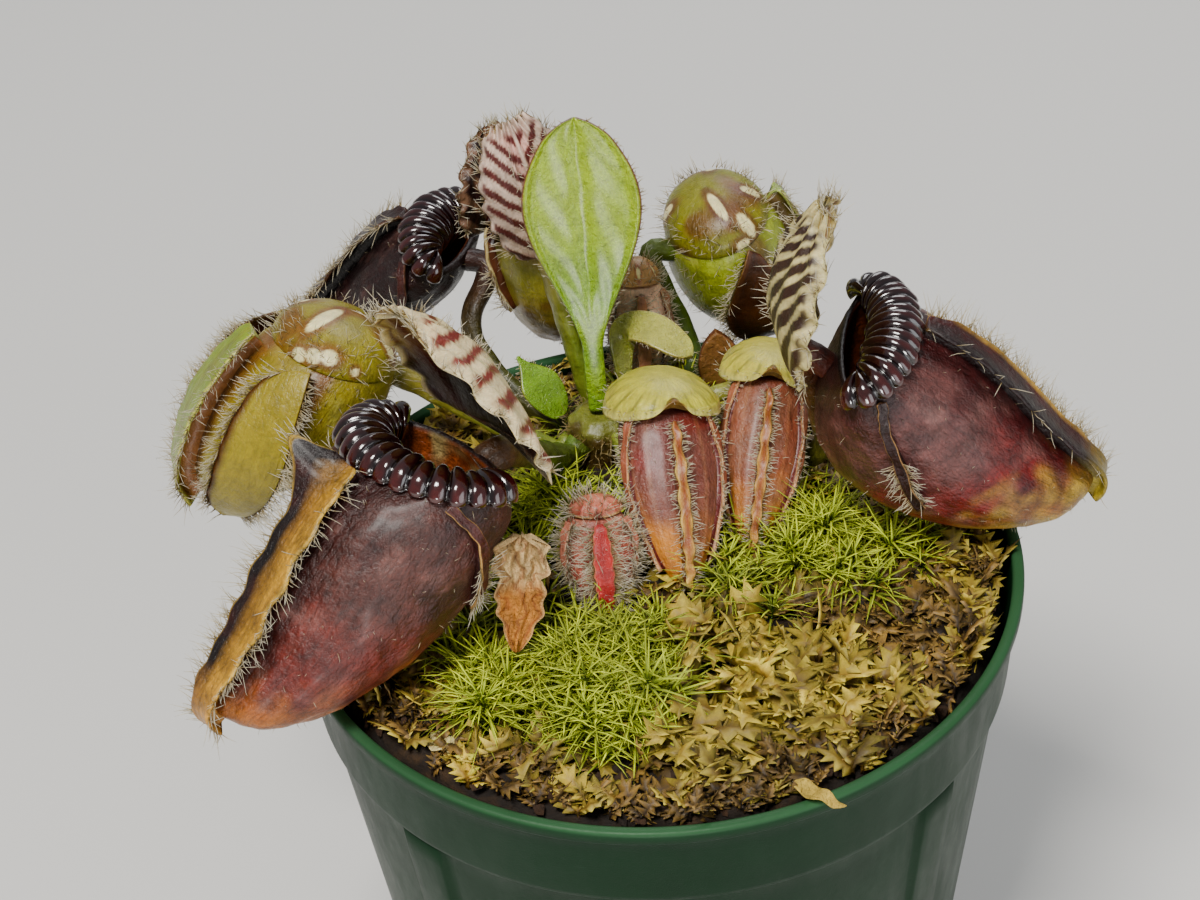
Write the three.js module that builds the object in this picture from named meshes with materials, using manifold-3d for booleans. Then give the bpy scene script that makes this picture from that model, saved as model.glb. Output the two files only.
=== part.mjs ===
// A small pitcher plant in a round nursery pot: mature pitchers with ribbed mouths and raised
// lids, young closed pitchers, flat leaves, moss and soil.
// Millimetres, +Z up. The origin is the middle of the pot's underside. The front is -Y.

import * as THREE from "three";
import { ParametricGeometry } from "three/addons/geometries/ParametricGeometry.js";
import { mergeVertices } from "three/addons/utils/BufferGeometryUtils.js";
import Module from "manifold-3d";

// ---- Driving dimensions -------------------------------------------------------------------

const POT_HEIGHT = 70;
const POT_RIM_RADIUS = 38;
const POT_BAND_RADIUS = 36.9;
const POT_BAND_HEIGHT = 10.9;
const POT_BODY_RADIUS = 36.2;
const POT_FOOT_RADIUS = 30.2;
const POT_WALL = 1;
const POT_FLOOR = 1.6;
const POT_SEGMENTS = 40;
const POT_RIB_ANGLES = [-43, 47, 137, 227];
const DRAIN_HOLE_RADIUS = 3.4;
const DRAIN_HOLE_RING = 23.5;

const GAP = 0.32;

const SOIL_EDGE_DEPTH = 4.2;
const SOIL_RISE = 4.4;

const CROWN_PLACE = { x: -5, y: 18.5 };
const CROWN_RADIUS = 3.6;
const CROWN_TOP = 5.5;
const CROWN_ROOT = -11;

const CUP_WALL = 1.1;
const CUP_AROUND = 16;
const RING_RIBS = 15;
const RING_START = 62;
const RING_SIDES = 5;
const STALK_RADIUS = 1.2;

// ---- Solids from closed surfaces ----------------------------------------------------------

const wasm = await Module();
wasm.setup();

const TAU = Math.PI * 2;
const radians = THREE.MathUtils.degToRad;
const lerp = THREE.MathUtils.lerp;

function vec(x, y, z) {
  return new THREE.Vector3(x, y, z);
}

// Joins the equal corners of a surface, drops its empty triangles and turns it to face out.
function weld(geometry) {
  const bare = geometry.clone();
  bare.deleteAttribute("normal");
  bare.deleteAttribute("uv");
  const merged = mergeVertices(bare, 1e-3);
  const place = merged.attributes.position;
  const corners = [];
  let volume = 0;
  const a = new THREE.Vector3();
  const b = new THREE.Vector3();
  const c = new THREE.Vector3();
  for (let i = 0; i < merged.index.count; i += 3) {
    const [p, q, r] = [0, 1, 2].map((k) => merged.index.getX(i + k));
    if (p === q || q === r || r === p) continue;
    corners.push(p, q, r);
    a.fromBufferAttribute(place, p);
    b.fromBufferAttribute(place, q);
    c.fromBufferAttribute(place, r);
    volume += a.dot(b.cross(c));
  }
  if (volume < 0) corners.reverse();
  merged.setIndex(corners);
  return merged;
}

// A closed surface: place(angle, t, target) goes round at each t, and shrinks to one point
// at t = 0 and at t = 1.
function closedSurface(place, around, along) {
  const surface = new ParametricGeometry(
    (u, v, target) => place(u * TAU, v, target),
    around,
    along,
  );
  return weld(surface);
}

function toManifold(geometry) {
  return new wasm.Manifold(new wasm.Mesh({
    numProp: 3,
    vertProperties: Float32Array.from(geometry.attributes.position.array),
    triVerts: Uint32Array.from(geometry.index.array),
  }));
}

function toGeometry(manifold) {
  const mesh = manifold.getMesh();
  const geometry = new THREE.BufferGeometry();
  const places = Float32Array.from(mesh.vertProperties);
  geometry.setAttribute("position", new THREE.BufferAttribute(places, 3));
  geometry.setIndex(new THREE.BufferAttribute(Uint32Array.from(mesh.triVerts), 1));
  return geometry;
}

// The largest body that is left when the others are fused and the cutters taken away.
function fuse(solids, cutters = []) {
  let whole = toManifold(solids[0]);
  for (const solid of solids.slice(1)) whole = whole.add(toManifold(solid));
  for (const cutter of cutters) whole = whole.subtract(toManifold(cutter));
  const bodies = whole.decompose();
  bodies.sort((one, other) => other.volume() - one.volume());
  return toGeometry(bodies[0]);
}

// Round section along a path, with a radius for each place on it.
function taperedTube(path, radiusAt, sides, steps) {
  const frames = path.computeFrenetFrames(steps, false);
  return closedSurface((angle, t, target) => {
    const row = Math.min(Math.max(Math.round(t * (steps + 2)) - 1, 0), steps);
    const isEnd = t < 0.5 / (steps + 2) || t > 1 - 0.5 / (steps + 2);
    const radius = isEnd ? 0 : radiusAt(row / steps);
    target.copy(path.getPointAt(row / steps));
    target.addScaledVector(frames.normals[row], radius * Math.cos(angle));
    target.addScaledVector(frames.binormals[row], radius * Math.sin(angle));
  }, sides, steps + 2);
}

// Repeatable draws between 0 and 1.
function seeded(seed) {
  let state = seed;
  return () => {
    state = (state * 1664525 + 1013904223) % 4294967296;
    return state / 4294967296;
  };
}

// ---- Materials ----------------------------------------------------------------------------

function finish(color, roughness) {
  return new THREE.MeshStandardMaterial({ color, roughness, metalness: 0 });
}

const FINISH = {
  pot: () => finish(0x1f4a38, 0.45),
  soil: () => finish(0x2a1c12, 0.95),
  crown: () => finish(0x5b4a26, 0.8),
  maturePitcher: () => finish(0x5e2c30, 0.5),
  greenPitcher: () => finish(0x93913a, 0.5),
  tanPitcher: () => finish(0x8f6a42, 0.55),
  smallPitcher: () => finish(0x9a5148, 0.5),
  mouthRing: () => finish(0x2a0a0c, 0.2),
  stripedLid: () => finish(0xb49a84, 0.5),
  youngLid: () => finish(0xa8a24c, 0.5),
  leaf: () => finish(0x8fae2f, 0.3),
  paleLeaf: () => finish(0xb9c25a, 0.35),
  driedLeaf: () => finish(0xa9743c, 0.8),
  brightMoss: () => finish(0x8fa332, 0.8),
  oliveMoss: () => finish(0x9a8a44, 0.85),
  brownMoss: () => finish(0x5c4a2c, 0.9),
};

// ---- The form of a pitcher ----------------------------------------------------------------

// A pitcher's own frame has its origin in the middle of the mouth, +X to the lip, +Z out of
// the mouth and +Y across. Each row: depth as a share of the whole, how far the front and the
// back stand out from the straight lines to the toe, half width, all in half widths, and
// where between back and front the section is widest.
const MATURE_FORM = [
  [0.00, 0.00, 0.00, 0.98, 0.40],
  [0.05, 0.10, 0.28, 1.00, 0.43],
  [0.13, 0.18, 0.64, 1.02, 0.46],
  [0.28, 0.20, 1.10, 1.02, 0.50],
  [0.46, 0.15, 1.46, 1.00, 0.50],
  [0.63, 0.08, 1.56, 0.93, 0.50],
  [0.79, 0.06, 1.50, 0.78, 0.52],
  [0.91, 0.02, 1.32, 0.56, 0.55],
  [0.98, -0.26, 1.08, 0.32, 0.55],
  [1.00, -0.63, 0.63, 0.00, 0.50],
];
const YOUNG_FORM = [
  [0.00, 0.00, 0.00, 0.90, 0.50],
  [0.10, 0.12, 0.20, 0.98, 0.50],
  [0.30, 0.22, 0.50, 1.00, 0.50],
  [0.50, 0.25, 0.70, 0.95, 0.50],
  [0.70, 0.20, 0.75, 0.80, 0.50],
  [0.87, 0.10, 0.66, 0.55, 0.50],
  [0.97, -0.08, 0.48, 0.28, 0.50],
  [1.00, -0.30, 0.30, 0.00, 0.50],
];
const SLIM_FORM = [
  [0.00, 0.00, 0.00, 0.80, 0.50],
  [0.12, 0.10, 0.12, 0.94, 0.50],
  [0.32, 0.20, 0.30, 1.00, 0.50],
  [0.54, 0.24, 0.38, 0.88, 0.50],
  [0.76, 0.20, 0.34, 0.62, 0.50],
  [0.92, 0.10, 0.22, 0.36, 0.50],
  [1.00, 0.00, 0.00, 0.00, 0.50],
];

// The frame and the sizes of one pitcher, from its hinge, lip and toe.
function pitcherShape({ hinge, lip, toe, halfWidth, form, belly = 1 }) {
  const [h, l, t] = [vec(...hinge), vec(...lip), vec(...toe)];
  const middle = h.clone().lerp(l, 0.5);
  const toLip = l.clone().sub(h).normalize();
  const toToe = t.clone().sub(middle);
  const across = toLip.clone().cross(toToe).normalize();
  const out = toLip.clone().cross(across);
  const half = h.distanceTo(l) / 2;
  const depth = -toToe.dot(out);
  const toeReach = toToe.dot(toLip);
  const rows = form.map(([share, front, back, width, widest]) => {
    const z = -depth * share;
    return {
      front: vec(lerp(half, toeReach, share) + front * halfWidth, width * halfWidth, z),
      back: vec(
        lerp(-half, toeReach, share) - back * halfWidth * lerp(belly, 1, share ** 6),
        widest,
        z,
      ),
    };
  });
  const curve = (side) => {
    return new THREE.CatmullRomCurve3(rows.map((row) => row[side]), false, "catmullrom", 0.5);
  };
  const turn = new THREE.Matrix4().makeBasis(toLip, across, out);
  return { half, depth, halfWidth, middle, turn, front: curve("front"), back: curve("back") };
}

// A place on the pitcher's flank: t runs from the mouth, 0, to the toe, 1.
function flank(shape, angle, t, inset = 0) {
  const f = shape.front.getPoint(t);
  const b = shape.back.getPoint(t);
  const widest = lerp(b.x, f.x, b.y);
  const reach = Math.cos(angle) > 0 ? f.x - widest : widest - b.x;
  const along = Math.max(reach - inset, 0) * Math.cos(angle);
  return vec(widest + along, Math.max(f.y - inset, 0) * Math.sin(angle), f.z);
}

function flankNormal(shape, angle, t) {
  const step = 1e-3;
  const along = flank(shape, angle, t + step).sub(flank(shape, angle, t - step));
  const round = flank(shape, angle + step, t).sub(flank(shape, angle - step, t));
  return round.cross(along).normalize().negate();
}

// An open cup: the outer flank from the toe up to the rim, and the inner one down again.
function cup(shape) {
  const outer = 10;
  const inner = 5;
  const floor = 0.84;
  return closedSurface((angle, v, target) => {
    const row = v * (outer + inner);
    if (row <= outer) {
      target.copy(flank(shape, angle, Math.max(1 - row / outer, 0)));
      return;
    }
    const down = Math.min((row - outer) / inner, 1);
    const t = floor * down;
    const rounding = Math.sqrt(1 - Math.pow(down, 6));
    const heart = flank(shape, angle, t, Infinity);
    target.copy(heart.lerp(flank(shape, angle, t, CUP_WALL), rounding));
  }, CUP_AROUND, outer + inner);
}

// A closed young pitcher, whose mouth is still sealed.
function bulb(shape, around, along) {
  return closedSurface((angle, v, target) => {
    const row = v * (along + 1);
    target.copy(flank(shape, angle, Math.max(row - 1, 0) / along, row < 0.5 ? Infinity : 0));
  }, around, along + 1);
}

// The T section of a front keel and the flared section of a side wing, from the root upward.
function keelSection(height, flange) {
  const stem = 0.45;
  const plate = 0.7;
  const droop = 0.3;
  return [
    [-stem, -0.5],
    [stem, -0.5],
    [stem, height - plate],
    [flange, height - plate - droop],
    [flange, height - droop],
    [0, height],
    [-flange, height - droop],
    [-flange, height - plate - droop],
    [-stem, height - plate],
  ];
}

function wingSection(height, flange) {
  return [[-0.45, -0.5], [0.45, -0.5], [flange, height], [-flange, height]];
}

// A ridge that runs over the flank along place(t), which gives an angle and a depth.
function ridge(shape, section, place, height, flange, steps) {
  const count = section(1, 1).length;
  return closedSurface((turn, v, target) => {
    const row = Math.round(v * (steps + 2)) - 1;
    const t = Math.min(Math.max(row, 0), steps) / steps;
    const isEnd = row < 0 || row > steps;
    const [angle, depth] = place(t);
    const out = flankNormal(shape, angle, depth);
    const ahead = flank(shape, ...place(t + 0.01)).sub(flank(shape, ...place(t - 0.01)));
    const side = out.clone().cross(ahead).normalize();
    const corner = Math.round((turn / TAU) * count) % count;
    const [x, y] = isEnd ? [0, height(t) / 2 - 0.5] : section(height(t), flange(t))[corner];
    target.copy(flank(shape, angle, depth)).addScaledVector(side, x).addScaledVector(out, y);
  }, count, steps + 2);
}

function frontKeel(shape, { flange = 2.4, height = 1.7, end = 0.86, steps = 8 } = {}) {
  return ridge(
    shape,
    keelSection,
    (t) => [0, lerp(0.08, end, t)],
    (t) => height * (0.85 + 0.15 * Math.sin(Math.PI * t)),
    (t) => flange * (0.42 + 0.58 * Math.sin(Math.PI * Math.pow(t, 0.8) * 0.94)),
    steps,
  );
}

function sideWing(shape, side, {
  flange = 0.9,
  height = 1.4,
  from = 62,
  to = 128,
  end = 0.44,
  steps = 6,
} = {}) {
  return ridge(
    shape,
    wingSection,
    (t) => [side * radians(lerp(from, to, t)), lerp(0.07, end, t)],
    (t) => height * (0.7 + 0.3 * Math.sin(Math.PI * t)),
    () => flange,
    steps,
  );
}

// The ribbed collar round the mouth, open at the hinge. It sits just above the rim and
// curls inward over it.
function mouthRing(shape) {
  const stations = RING_RIBS * 2;
  const start = radians(RING_START);
  return closedSurface((turn, v, target) => {
    const row = Math.round(v * (stations + 2)) - 1;
    const share = Math.min(Math.max(row, 0), stations) / stations;
    const angle = Math.PI + start + (TAU - 2 * start) * share;
    const heart = flank(shape, angle, 0, CUP_WALL / 2);
    const isRib = row % 2 === 0;
    const isEnd = row < 0 || row > stations;
    const large = 0.6 + 0.4 * Math.sin(Math.PI * share);
    const wide = (isRib ? 2.7 : 2.3) * large;
    const high = (isRib ? 2.6 : 1.9) * large;
    const out = vec(Math.cos(angle), Math.sin(angle), 0);
    const x = isEnd ? 0 : wide * Math.cos(turn);
    const y = isEnd ? high / 2 : Math.max(high * Math.sin(turn), 0);
    target.copy(heart).addScaledVector(out, x - 0.9 * large);
    target.z += GAP + y;
  }, RING_SIDES, stations + 2);
}

// A thin plate with two faces along +X: halfWidth(t, x) and lift(x, t) shape it, where t runs
// along it from 0 to 1 and x across it from -1 to 1.
function plate({ length, halfWidth, lift, thickness, columns, rows }) {
  return closedSurface((turn, v, target) => {
    const row = Math.round(v * (rows + 2)) - 1;
    const t = Math.min(Math.max(row, 0), rows) / rows;
    const isEnd = row < 0 || row > rows;
    const step = Math.round((turn / TAU) * columns * 2) % (columns * 2);
    const isTop = step < columns;
    const share = isTop ? step / columns : (2 * columns - step) / columns;
    const x = isEnd ? 0 : share * 2 - 1;
    const onEdge = step === 0 || step === columns;
    const half = typeof thickness === "function" ? thickness(t) / 2 : thickness / 2;
    const rise = isEnd || onEdge ? 0 : isTop ? half : -half;
    const end = isEnd ? (row < 0 ? -half / 2 : half / 2) : 0;
    target.set(t * length + end, x * halfWidth(t, x), lift(x, t) + rise);
  }, columns * 2, rows + 2);
}

// A raised lid: broad, domed and ribbed like a fan, with a scalloped edge.
function raisedLid({ length, halfWidth, ribs = 7, dome = 3 }) {
  const outline = (t) => Math.pow(Math.sin(Math.PI * lerp(0.17, 0.93, Math.pow(t, 0.92))), 0.62);
  const wave = (x) => Math.cos(Math.PI * ribs * x);
  return plate({
    length,
    halfWidth: (t, x) => halfWidth * outline(t) * (1 + 0.02 * wave(x)),
    lift: (x, t) => dome * (1 - x * x) * Math.sin(Math.PI * lerp(0.12, 0.9, t)) + 0.28 * wave(x) * t,
    thickness: 1,
    columns: ribs * 2,
    rows: 4,
  });
}

// A lid that still covers the mouth: a domed cap with a shallow inside.
function closedLid(shape, { height, overhang = 0.6, around = 14 }) {
  const outer = 4;
  const inner = 2;
  const wall = 0.9;
  return closedSurface((angle, v, target) => {
    const row = Math.round(v * (outer + inner));
    const isOuter = row <= outer;
    const share = isOuter ? row / outer : (outer + inner - row) / inner;
    const rim = flank(shape, angle, 0, isOuter ? -overhang : wall - overhang);
    const heart = flank(shape, angle, 0, Infinity);
    const top = height * Math.cos(share * Math.PI / 2) - (isOuter ? 0 : wall);
    target.copy(heart.lerp(rim, Math.sin(share * Math.PI / 2)));
    target.z += GAP + Math.max(top, 0);
  }, around, outer + inner);
}

// ---- The plant's parts --------------------------------------------------------------------

const root = new THREE.Group();
const plant = new THREE.Group();
plant.position.z = POT_HEIGHT;
root.add(plant);

function addMesh(group, name, geometry, material) {
  const mesh = new THREE.Mesh(geometry, material);
  mesh.name = name;
  group.add(mesh);
  return mesh;
}

function pitcherGroup(shape) {
  const group = new THREE.Group();
  group.position.copy(shape.middle);
  group.quaternion.setFromRotationMatrix(shape.turn);
  plant.add(group);
  group.updateWorldMatrix(true, false);
  return group;
}

// The stalk of a pitcher, in the pitcher's own frame: from the crown, or from a hole in the
// soil, by way of any places given, to just under its hinge.
function stalk(shape, group, { crownAngle, crownHeight, from, via = [], radius = STALK_RADIUS, sides = 6 }) {
  const toLocal = (place) => group.worldToLocal(place.clone().add(vec(0, 0, POT_HEIGHT)));
  const start = [];
  if (from) {
    start.push(vec(...from));
  } else {
    const angle = radians(crownAngle);
    const outward = vec(Math.cos(angle), Math.sin(angle), 0);
    const socket = vec(CROWN_PLACE.x, CROWN_PLACE.y, crownHeight);
    socket.addScaledVector(outward, CROWN_RADIUS + GAP + 0.1);
    start.push(socket, socket.clone().addScaledVector(outward, 2.2));
  }
  const join = flank(shape, Math.PI, 0.12, 0.6);
  const before = join.clone().addScaledVector(flankNormal(shape, Math.PI, 0.12), 3);
  const places = [...start, ...via.map((place) => vec(...place))].map(toLocal);
  const path = new THREE.CatmullRomCurve3([...places, before, join]);
  return taperedTube(path, (t) => radius * lerp(1, 1.2, t * t), sides, 8);
}

// A raised lid, from the middle of its hinge line to its tip, with its across direction.
function placeLid(name, { from, tip, across, halfWidth, dome }) {
  const along = vec(...tip).sub(vec(...from));
  const side = vec(...across).cross(along).normalize();
  const lid = addMesh(
    plant,
    name,
    raisedLid({ length: along.length(), halfWidth, dome }),
    FINISH.stripedLid(),
  );
  along.normalize();
  const turn = new THREE.Matrix4().makeBasis(along, side.clone().cross(along), side);
  lid.position.set(...from);
  lid.quaternion.setFromRotationMatrix(turn);
}

function openPitcher(name, spec) {
  const shape = pitcherShape({ form: MATURE_FORM, ...spec });
  const group = pitcherGroup(shape);
  const body = fuse([
    cup(shape),
    frontKeel(shape, spec.keel),
    sideWing(shape, 1, spec.wing),
    sideWing(shape, -1, spec.wing),
    stalk(shape, group, spec.stalk),
  ]);
  addMesh(group, `${name}_body`, body, FINISH[spec.finish]());
  addMesh(group, `${name}_mouth_ring`, mouthRing(shape), FINISH.mouthRing());
  placeLid(`${name}_lid`, spec.lid);
  return shape;
}

function closedPitcher(name, spec) {
  const shape = pitcherShape({ form: YOUNG_FORM, ...spec });
  const group = pitcherGroup(shape);
  const body = fuse([
    bulb(shape, spec.around || 14, spec.along || 9),
    frontKeel(shape, spec.keel),
    sideWing(shape, 1, spec.wing),
    sideWing(shape, -1, spec.wing),
    stalk(shape, group, spec.stalk),
  ]);
  addMesh(group, `${name}_body`, body, FINISH[spec.finish]());
  addMesh(group, `${name}_lid`, closedLid(shape, spec.lid), FINISH.youngLid());
  return shape;
}

// ---- The pitchers, from the front to the back; heights are above the pot's rim ------------

openPitcher("pitcher_right", {
  hinge: [19.4, 5, 21.6],
  lip: [26.5, 4, 24.5],
  toe: [46.8, 1.2, 4.8],
  halfWidth: 9.5,
  finish: "maturePitcher",
  wing: { from: 74, to: 100, end: 0.5 },
  stalk: { crownAngle: -20, crownHeight: 1.4, via: [[8.4, 13.4, 1.4], [15, 12.6, 1.8], [18.6, 9.6, 6.4]] },
  lid: { from: [16.7, 4.6, 21.9], tip: [19.2, 5.6, 38.4], across: [-0.35, -0.93, 0], halfWidth: 10.6 },
});
openPitcher("pitcher_front_left", {
  hinge: [-16.6, -2.5, 17.6],
  lip: [-26.8, -9.5, 22.7],
  toe: [-44.4, -24.3, 3.8],
  halfWidth: 10,
  belly: 0.82,
  finish: "maturePitcher",
  stalk: { crownAngle: 232, crownHeight: 3.4, radius: 1.5 },
  lid: { from: [-14.6, -2.3, 18.5], tip: [-22.7, -5.5, 36.2], across: [-0.4, 0.916, 0], halfWidth: 11.6 },
});
openPitcher("pitcher_back_left", {
  hinge: [-18.6, 37.4, 14.4],
  lip: [-24.4, 39.6, 17.6],
  toe: [-40, 45.4, 0.6],
  halfWidth: 7,
  belly: 0.5,
  finish: "maturePitcher",
  stalk: { crownAngle: 142, crownHeight: 1.4, via: [[-15.4, 27.4, 3.2], [-19, 32.4, 7.6]] },
  lid: {
    from: [-16.8, 39.2, 16.2],
    tip: [-15.6, 42.4, 27.6],
    across: [0.45, 0.88, 0],
    halfWidth: 6,
    dome: 1.2,
  },
});
openPitcher("pitcher_back", {
  hinge: [-9.4, 30.6, 18.6],
  lip: [-9.6, 37.6, 22],
  toe: [-9.6, 45, 2.6],
  halfWidth: 5.8,
  belly: 0.75,
  finish: "greenPitcher",
  stalk: { crownAngle: 100, crownHeight: 2.8 },
  lid: { from: [-9, 29.4, 19.8], tip: [-12.6, 29.8, 36], across: [0.95, 0.3, 0.2], halfWidth: 5.6 },
});
closedPitcher("young_pitcher_left", {
  hinge: [-26.8, 21, 12],
  lip: [-39, 19.5, 17.6],
  toe: [-49.4, 13.6, 2],
  halfWidth: 9.4,
  finish: "greenPitcher",
  keel: { flange: 2.8, height: 2.6 },
  wing: { flange: 0.9, height: 2.2, from: 60, to: 100, end: 0.85 },
  stalk: { crownAngle: 198, crownHeight: 2.4 },
  lid: { height: 4.6 },
});
closedPitcher("young_pitcher_back_right", {
  hinge: [4, 36.5, 14.6],
  lip: [14.5, 40, 18],
  toe: [16.6, 41, 1.8],
  halfWidth: 7.6,
  finish: "greenPitcher",
  keel: { flange: 2.2, height: 2.2 },
  wing: { flange: 0.8, height: 1.8, from: 60, to: 100, end: 0.85 },
  stalk: { crownAngle: 36, crownHeight: 2.4, via: [[5, 27.6, 1.8], [5.4, 31.4, 4.4]] },
  lid: { height: 4.4 },
});
closedPitcher("small_pitcher_front", {
  form: SLIM_FORM,
  hinge: [1, 13.4, 13],
  lip: [2.6, 5.8, 14.4],
  toe: [3.1, -7, 1.8],
  halfWidth: 5.1,
  finish: "smallPitcher",
  along: 7,
  around: 12,
  keel: { flange: 1.1, height: 1.55, end: 0.94, steps: 6 },
  wing: { flange: 0.6, height: 0.9, from: 58, to: 84, end: 0.8, steps: 4 },
  stalk: { crownAngle: -62, crownHeight: 4, radius: 0.9, sides: 5 },
  lid: { height: 3, around: 12, overhang: 1 },
});
closedPitcher("small_pitcher_middle", {
  form: SLIM_FORM,
  hinge: [13.6, 19.4, 11.4],
  lip: [13.2, 11.8, 13.2],
  toe: [9.8, -1.8, 0.8],
  halfWidth: 4.1,
  finish: "smallPitcher",
  along: 7,
  around: 12,
  keel: { flange: 1, height: 1.5, end: 0.94, steps: 6 },
  wing: { flange: 0.6, height: 0.9, from: 57, to: 85, end: 0.81, steps: 4 },
  stalk: { crownAngle: 4, crownHeight: 4.2, radius: 0.9, sides: 5 },
  lid: { height: 2.6, around: 12, overhang: 1 },
});

closedPitcher("young_pitcher_behind_leaf", {
  form: SLIM_FORM,
  hinge: [-0.4, 33.2, 12.4],
  lip: [0.2, 28.4, 14.2],
  toe: [0, 25.2, 2],
  halfWidth: 3.2,
  finish: "tanPitcher",
  along: 6,
  around: 10,
  keel: { flange: 0.8, height: 1.4, end: 0.94, steps: 5 },
  wing: { flange: 0.5, height: 0.6, from: 60, to: 84, end: 0.8, steps: 3 },
  stalk: { crownAngle: 68, crownHeight: 1.4, via: [[-1.8, 30, 3.4]], radius: 0.9, sides: 5 },
  lid: { height: 2, around: 10 },
});
closedPitcher("baby_pitcher", {
  form: SLIM_FORM,
  hinge: [-6, 0, 8],
  lip: [-5.5, -3.6, 8.8],
  toe: [-5.3, -8.8, 1.4],
  halfWidth: 3.4,
  finish: "smallPitcher",
  along: 6,
  around: 10,
  keel: { flange: 0.75, height: 1.4, end: 0.92, steps: 5 },
  wing: { flange: 0.5, height: 0.7, from: 62, to: 86, end: 0.82, steps: 3 },
  stalk: { from: [-5.6, 4.6, -5], via: [[-5.6, 4.4, 1]], radius: 0.83, sides: 5 },
  lid: { height: 1.6, around: 10, overhang: 0.3 },
});

// ---- Flat leaves, buds and the dried leaf -------------------------------------------------

// A leaf along a path: half width and thickness for each place on it, cupped upward.
function leafAlong({ path, halfWidth, thickness, cup, columns, rows, facing }) {
  const curve = new THREE.CatmullRomCurve3(path.map((place) => vec(...place)));
  const face = vec(...facing);
  return closedSurface((turn, v, target) => {
    const row = Math.round(v * (rows + 2)) - 1;
    const t = Math.min(Math.max(row, 0), rows) / rows;
    const isEnd = row < 0 || row > rows;
    const ahead = curve.getTangentAt(t);
    const side = ahead.clone().cross(face).normalize();
    const up = side.clone().cross(ahead);
    const wide = isEnd ? 0 : halfWidth(t);
    const thick = isEnd ? 0 : thickness(t) / 2;
    const x = wide * Math.cos(turn);
    const flat = Math.sign(Math.sin(turn)) * Math.pow(Math.abs(Math.sin(turn)), 0.5);
    target.copy(curve.getPointAt(t)).addScaledVector(side, x);
    target.addScaledVector(up, thick * flat + cup * wide * Math.cos(turn) ** 2);
    if (isEnd) target.addScaledVector(ahead, row < 0 ? -0.1 : 0.1);
  }, columns, rows + 2);
}

function addLeaf(name, material, spec) {
  addMesh(plant, name, leafAlong({ columns: 10, rows: 7, ...spec }), FINISH[material]());
}

addLeaf("large_leaf", "leaf", {
  path: [[-5, 18.4, 6.1], [-5.2, 20, 13], [-5.2, 22.6, 22], [-5.5, 27.6, 37]],
  halfWidth: (t) => {
    const blade = Math.pow(Math.max(t - 0.22, 0) / 0.78, 1.35);
    return 1.1 + 5.2 * Math.pow(Math.sin(Math.PI * blade * 0.93), 1.1);
  },
  thickness: (t) => lerp(2.2, 0.9, Math.min(t * 2, 1)),
  cup: 0.1,
  rows: 12,
  facing: [0, -1, 0.3],
});
addLeaf("small_leaf_left", "leaf", {
  path: [[-9.3, 19.7, 4.2], [-10.4, 20.6, 6], [-13.6, 23.4, 9.8]],
  halfWidth: (t) => 0.8 + 1.6 * Math.sin(Math.PI * Math.pow(t, 0.8) * 0.92),
  thickness: () => 0.9,
  cup: 0.15,
  facing: [0.2, -0.6, 0.8],
});
addLeaf("small_leaf_right", "paleLeaf", {
  path: [[-2.1, 21.7, 5], [-1.9, 24, 11.4], [1, 22.8, 12.8], [5.4, 19.4, 11.4]],
  halfWidth: (t) => 0.7 + 1.3 * Math.sin(Math.PI * Math.pow(t, 1.6) * 0.93),
  thickness: () => 0.9,
  cup: 0.15,
  facing: [0.2, -0.5, 0.9],
});
addLeaf("bud_leaf", "driedLeaf", {
  path: [[9.2, 27, -5], [8.9, 27.2, 1], [8.3, 28, 8.2]],
  halfWidth: (t) => 0.8 + 1.7 * Math.max(Math.sin(Math.PI * (1.5 * t - 0.52)), 0),
  thickness: () => 1.3,
  cup: 0.2,
  columns: 8,
  rows: 5,
  facing: [0, -0.8, 0.5],
});
addLeaf("dried_leaf", "driedLeaf", {
  path: [[-12.8, -11.6, 14.4], [-13.2, -12.8, 10.8], [-13.6, -14.2, 6.4], [-14.2, -16.4, 3.6]],
  halfWidth: (t) => 1.1 + 1.5 * Math.abs(Math.sin(7 * t + 0.9)) * (1 - 0.55 * t),
  thickness: () => 0.8,
  cup: 0.5,
  columns: 8,
  rows: 10,
  facing: [0.1, -0.6, 0.7],
});

// ---- Crown, soil and pot ------------------------------------------------------------------

// A turned piece, upright: its outline is a list of [radius, height] from axis to axis.
function turned(outline, segments) {
  const points = outline.map(([radius, height]) => new THREE.Vector2(radius, height));
  return weld(new THREE.LatheGeometry(points, segments).rotateX(Math.PI / 2));
}

function soilTop(x, y) {
  const share = Math.min(Math.hypot(x, y) / POT_BODY_RADIUS, 1);
  return SOIL_RISE * (1 - share * share) - SOIL_EDGE_DEPTH;
}

function uprightHole(x, y, radius, depth) {
  const hole = new THREE.CylinderGeometry(radius, radius, depth, 10).rotateX(Math.PI / 2);
  hole.translate(x, y, 4 - depth / 2);
  return weld(hole);
}

const crown = turned([
  [0, CROWN_ROOT],
  [CROWN_RADIUS * 0.7, CROWN_ROOT],
  [CROWN_RADIUS, CROWN_ROOT + 3],
  [CROWN_RADIUS, CROWN_TOP - 1.6],
  [CROWN_RADIUS * 0.6, CROWN_TOP],
  [0, CROWN_TOP],
], 12);
crown.translate(CROWN_PLACE.x, CROWN_PLACE.y, 0);
addMesh(plant, "crown", crown, FINISH.crown());

const potWallAt = (height) => {
  const share = height / (POT_HEIGHT - POT_BAND_HEIGHT);
  return lerp(POT_FOOT_RADIUS, POT_BODY_RADIUS, Math.min(share, 1)) - POT_WALL;
};

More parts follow.
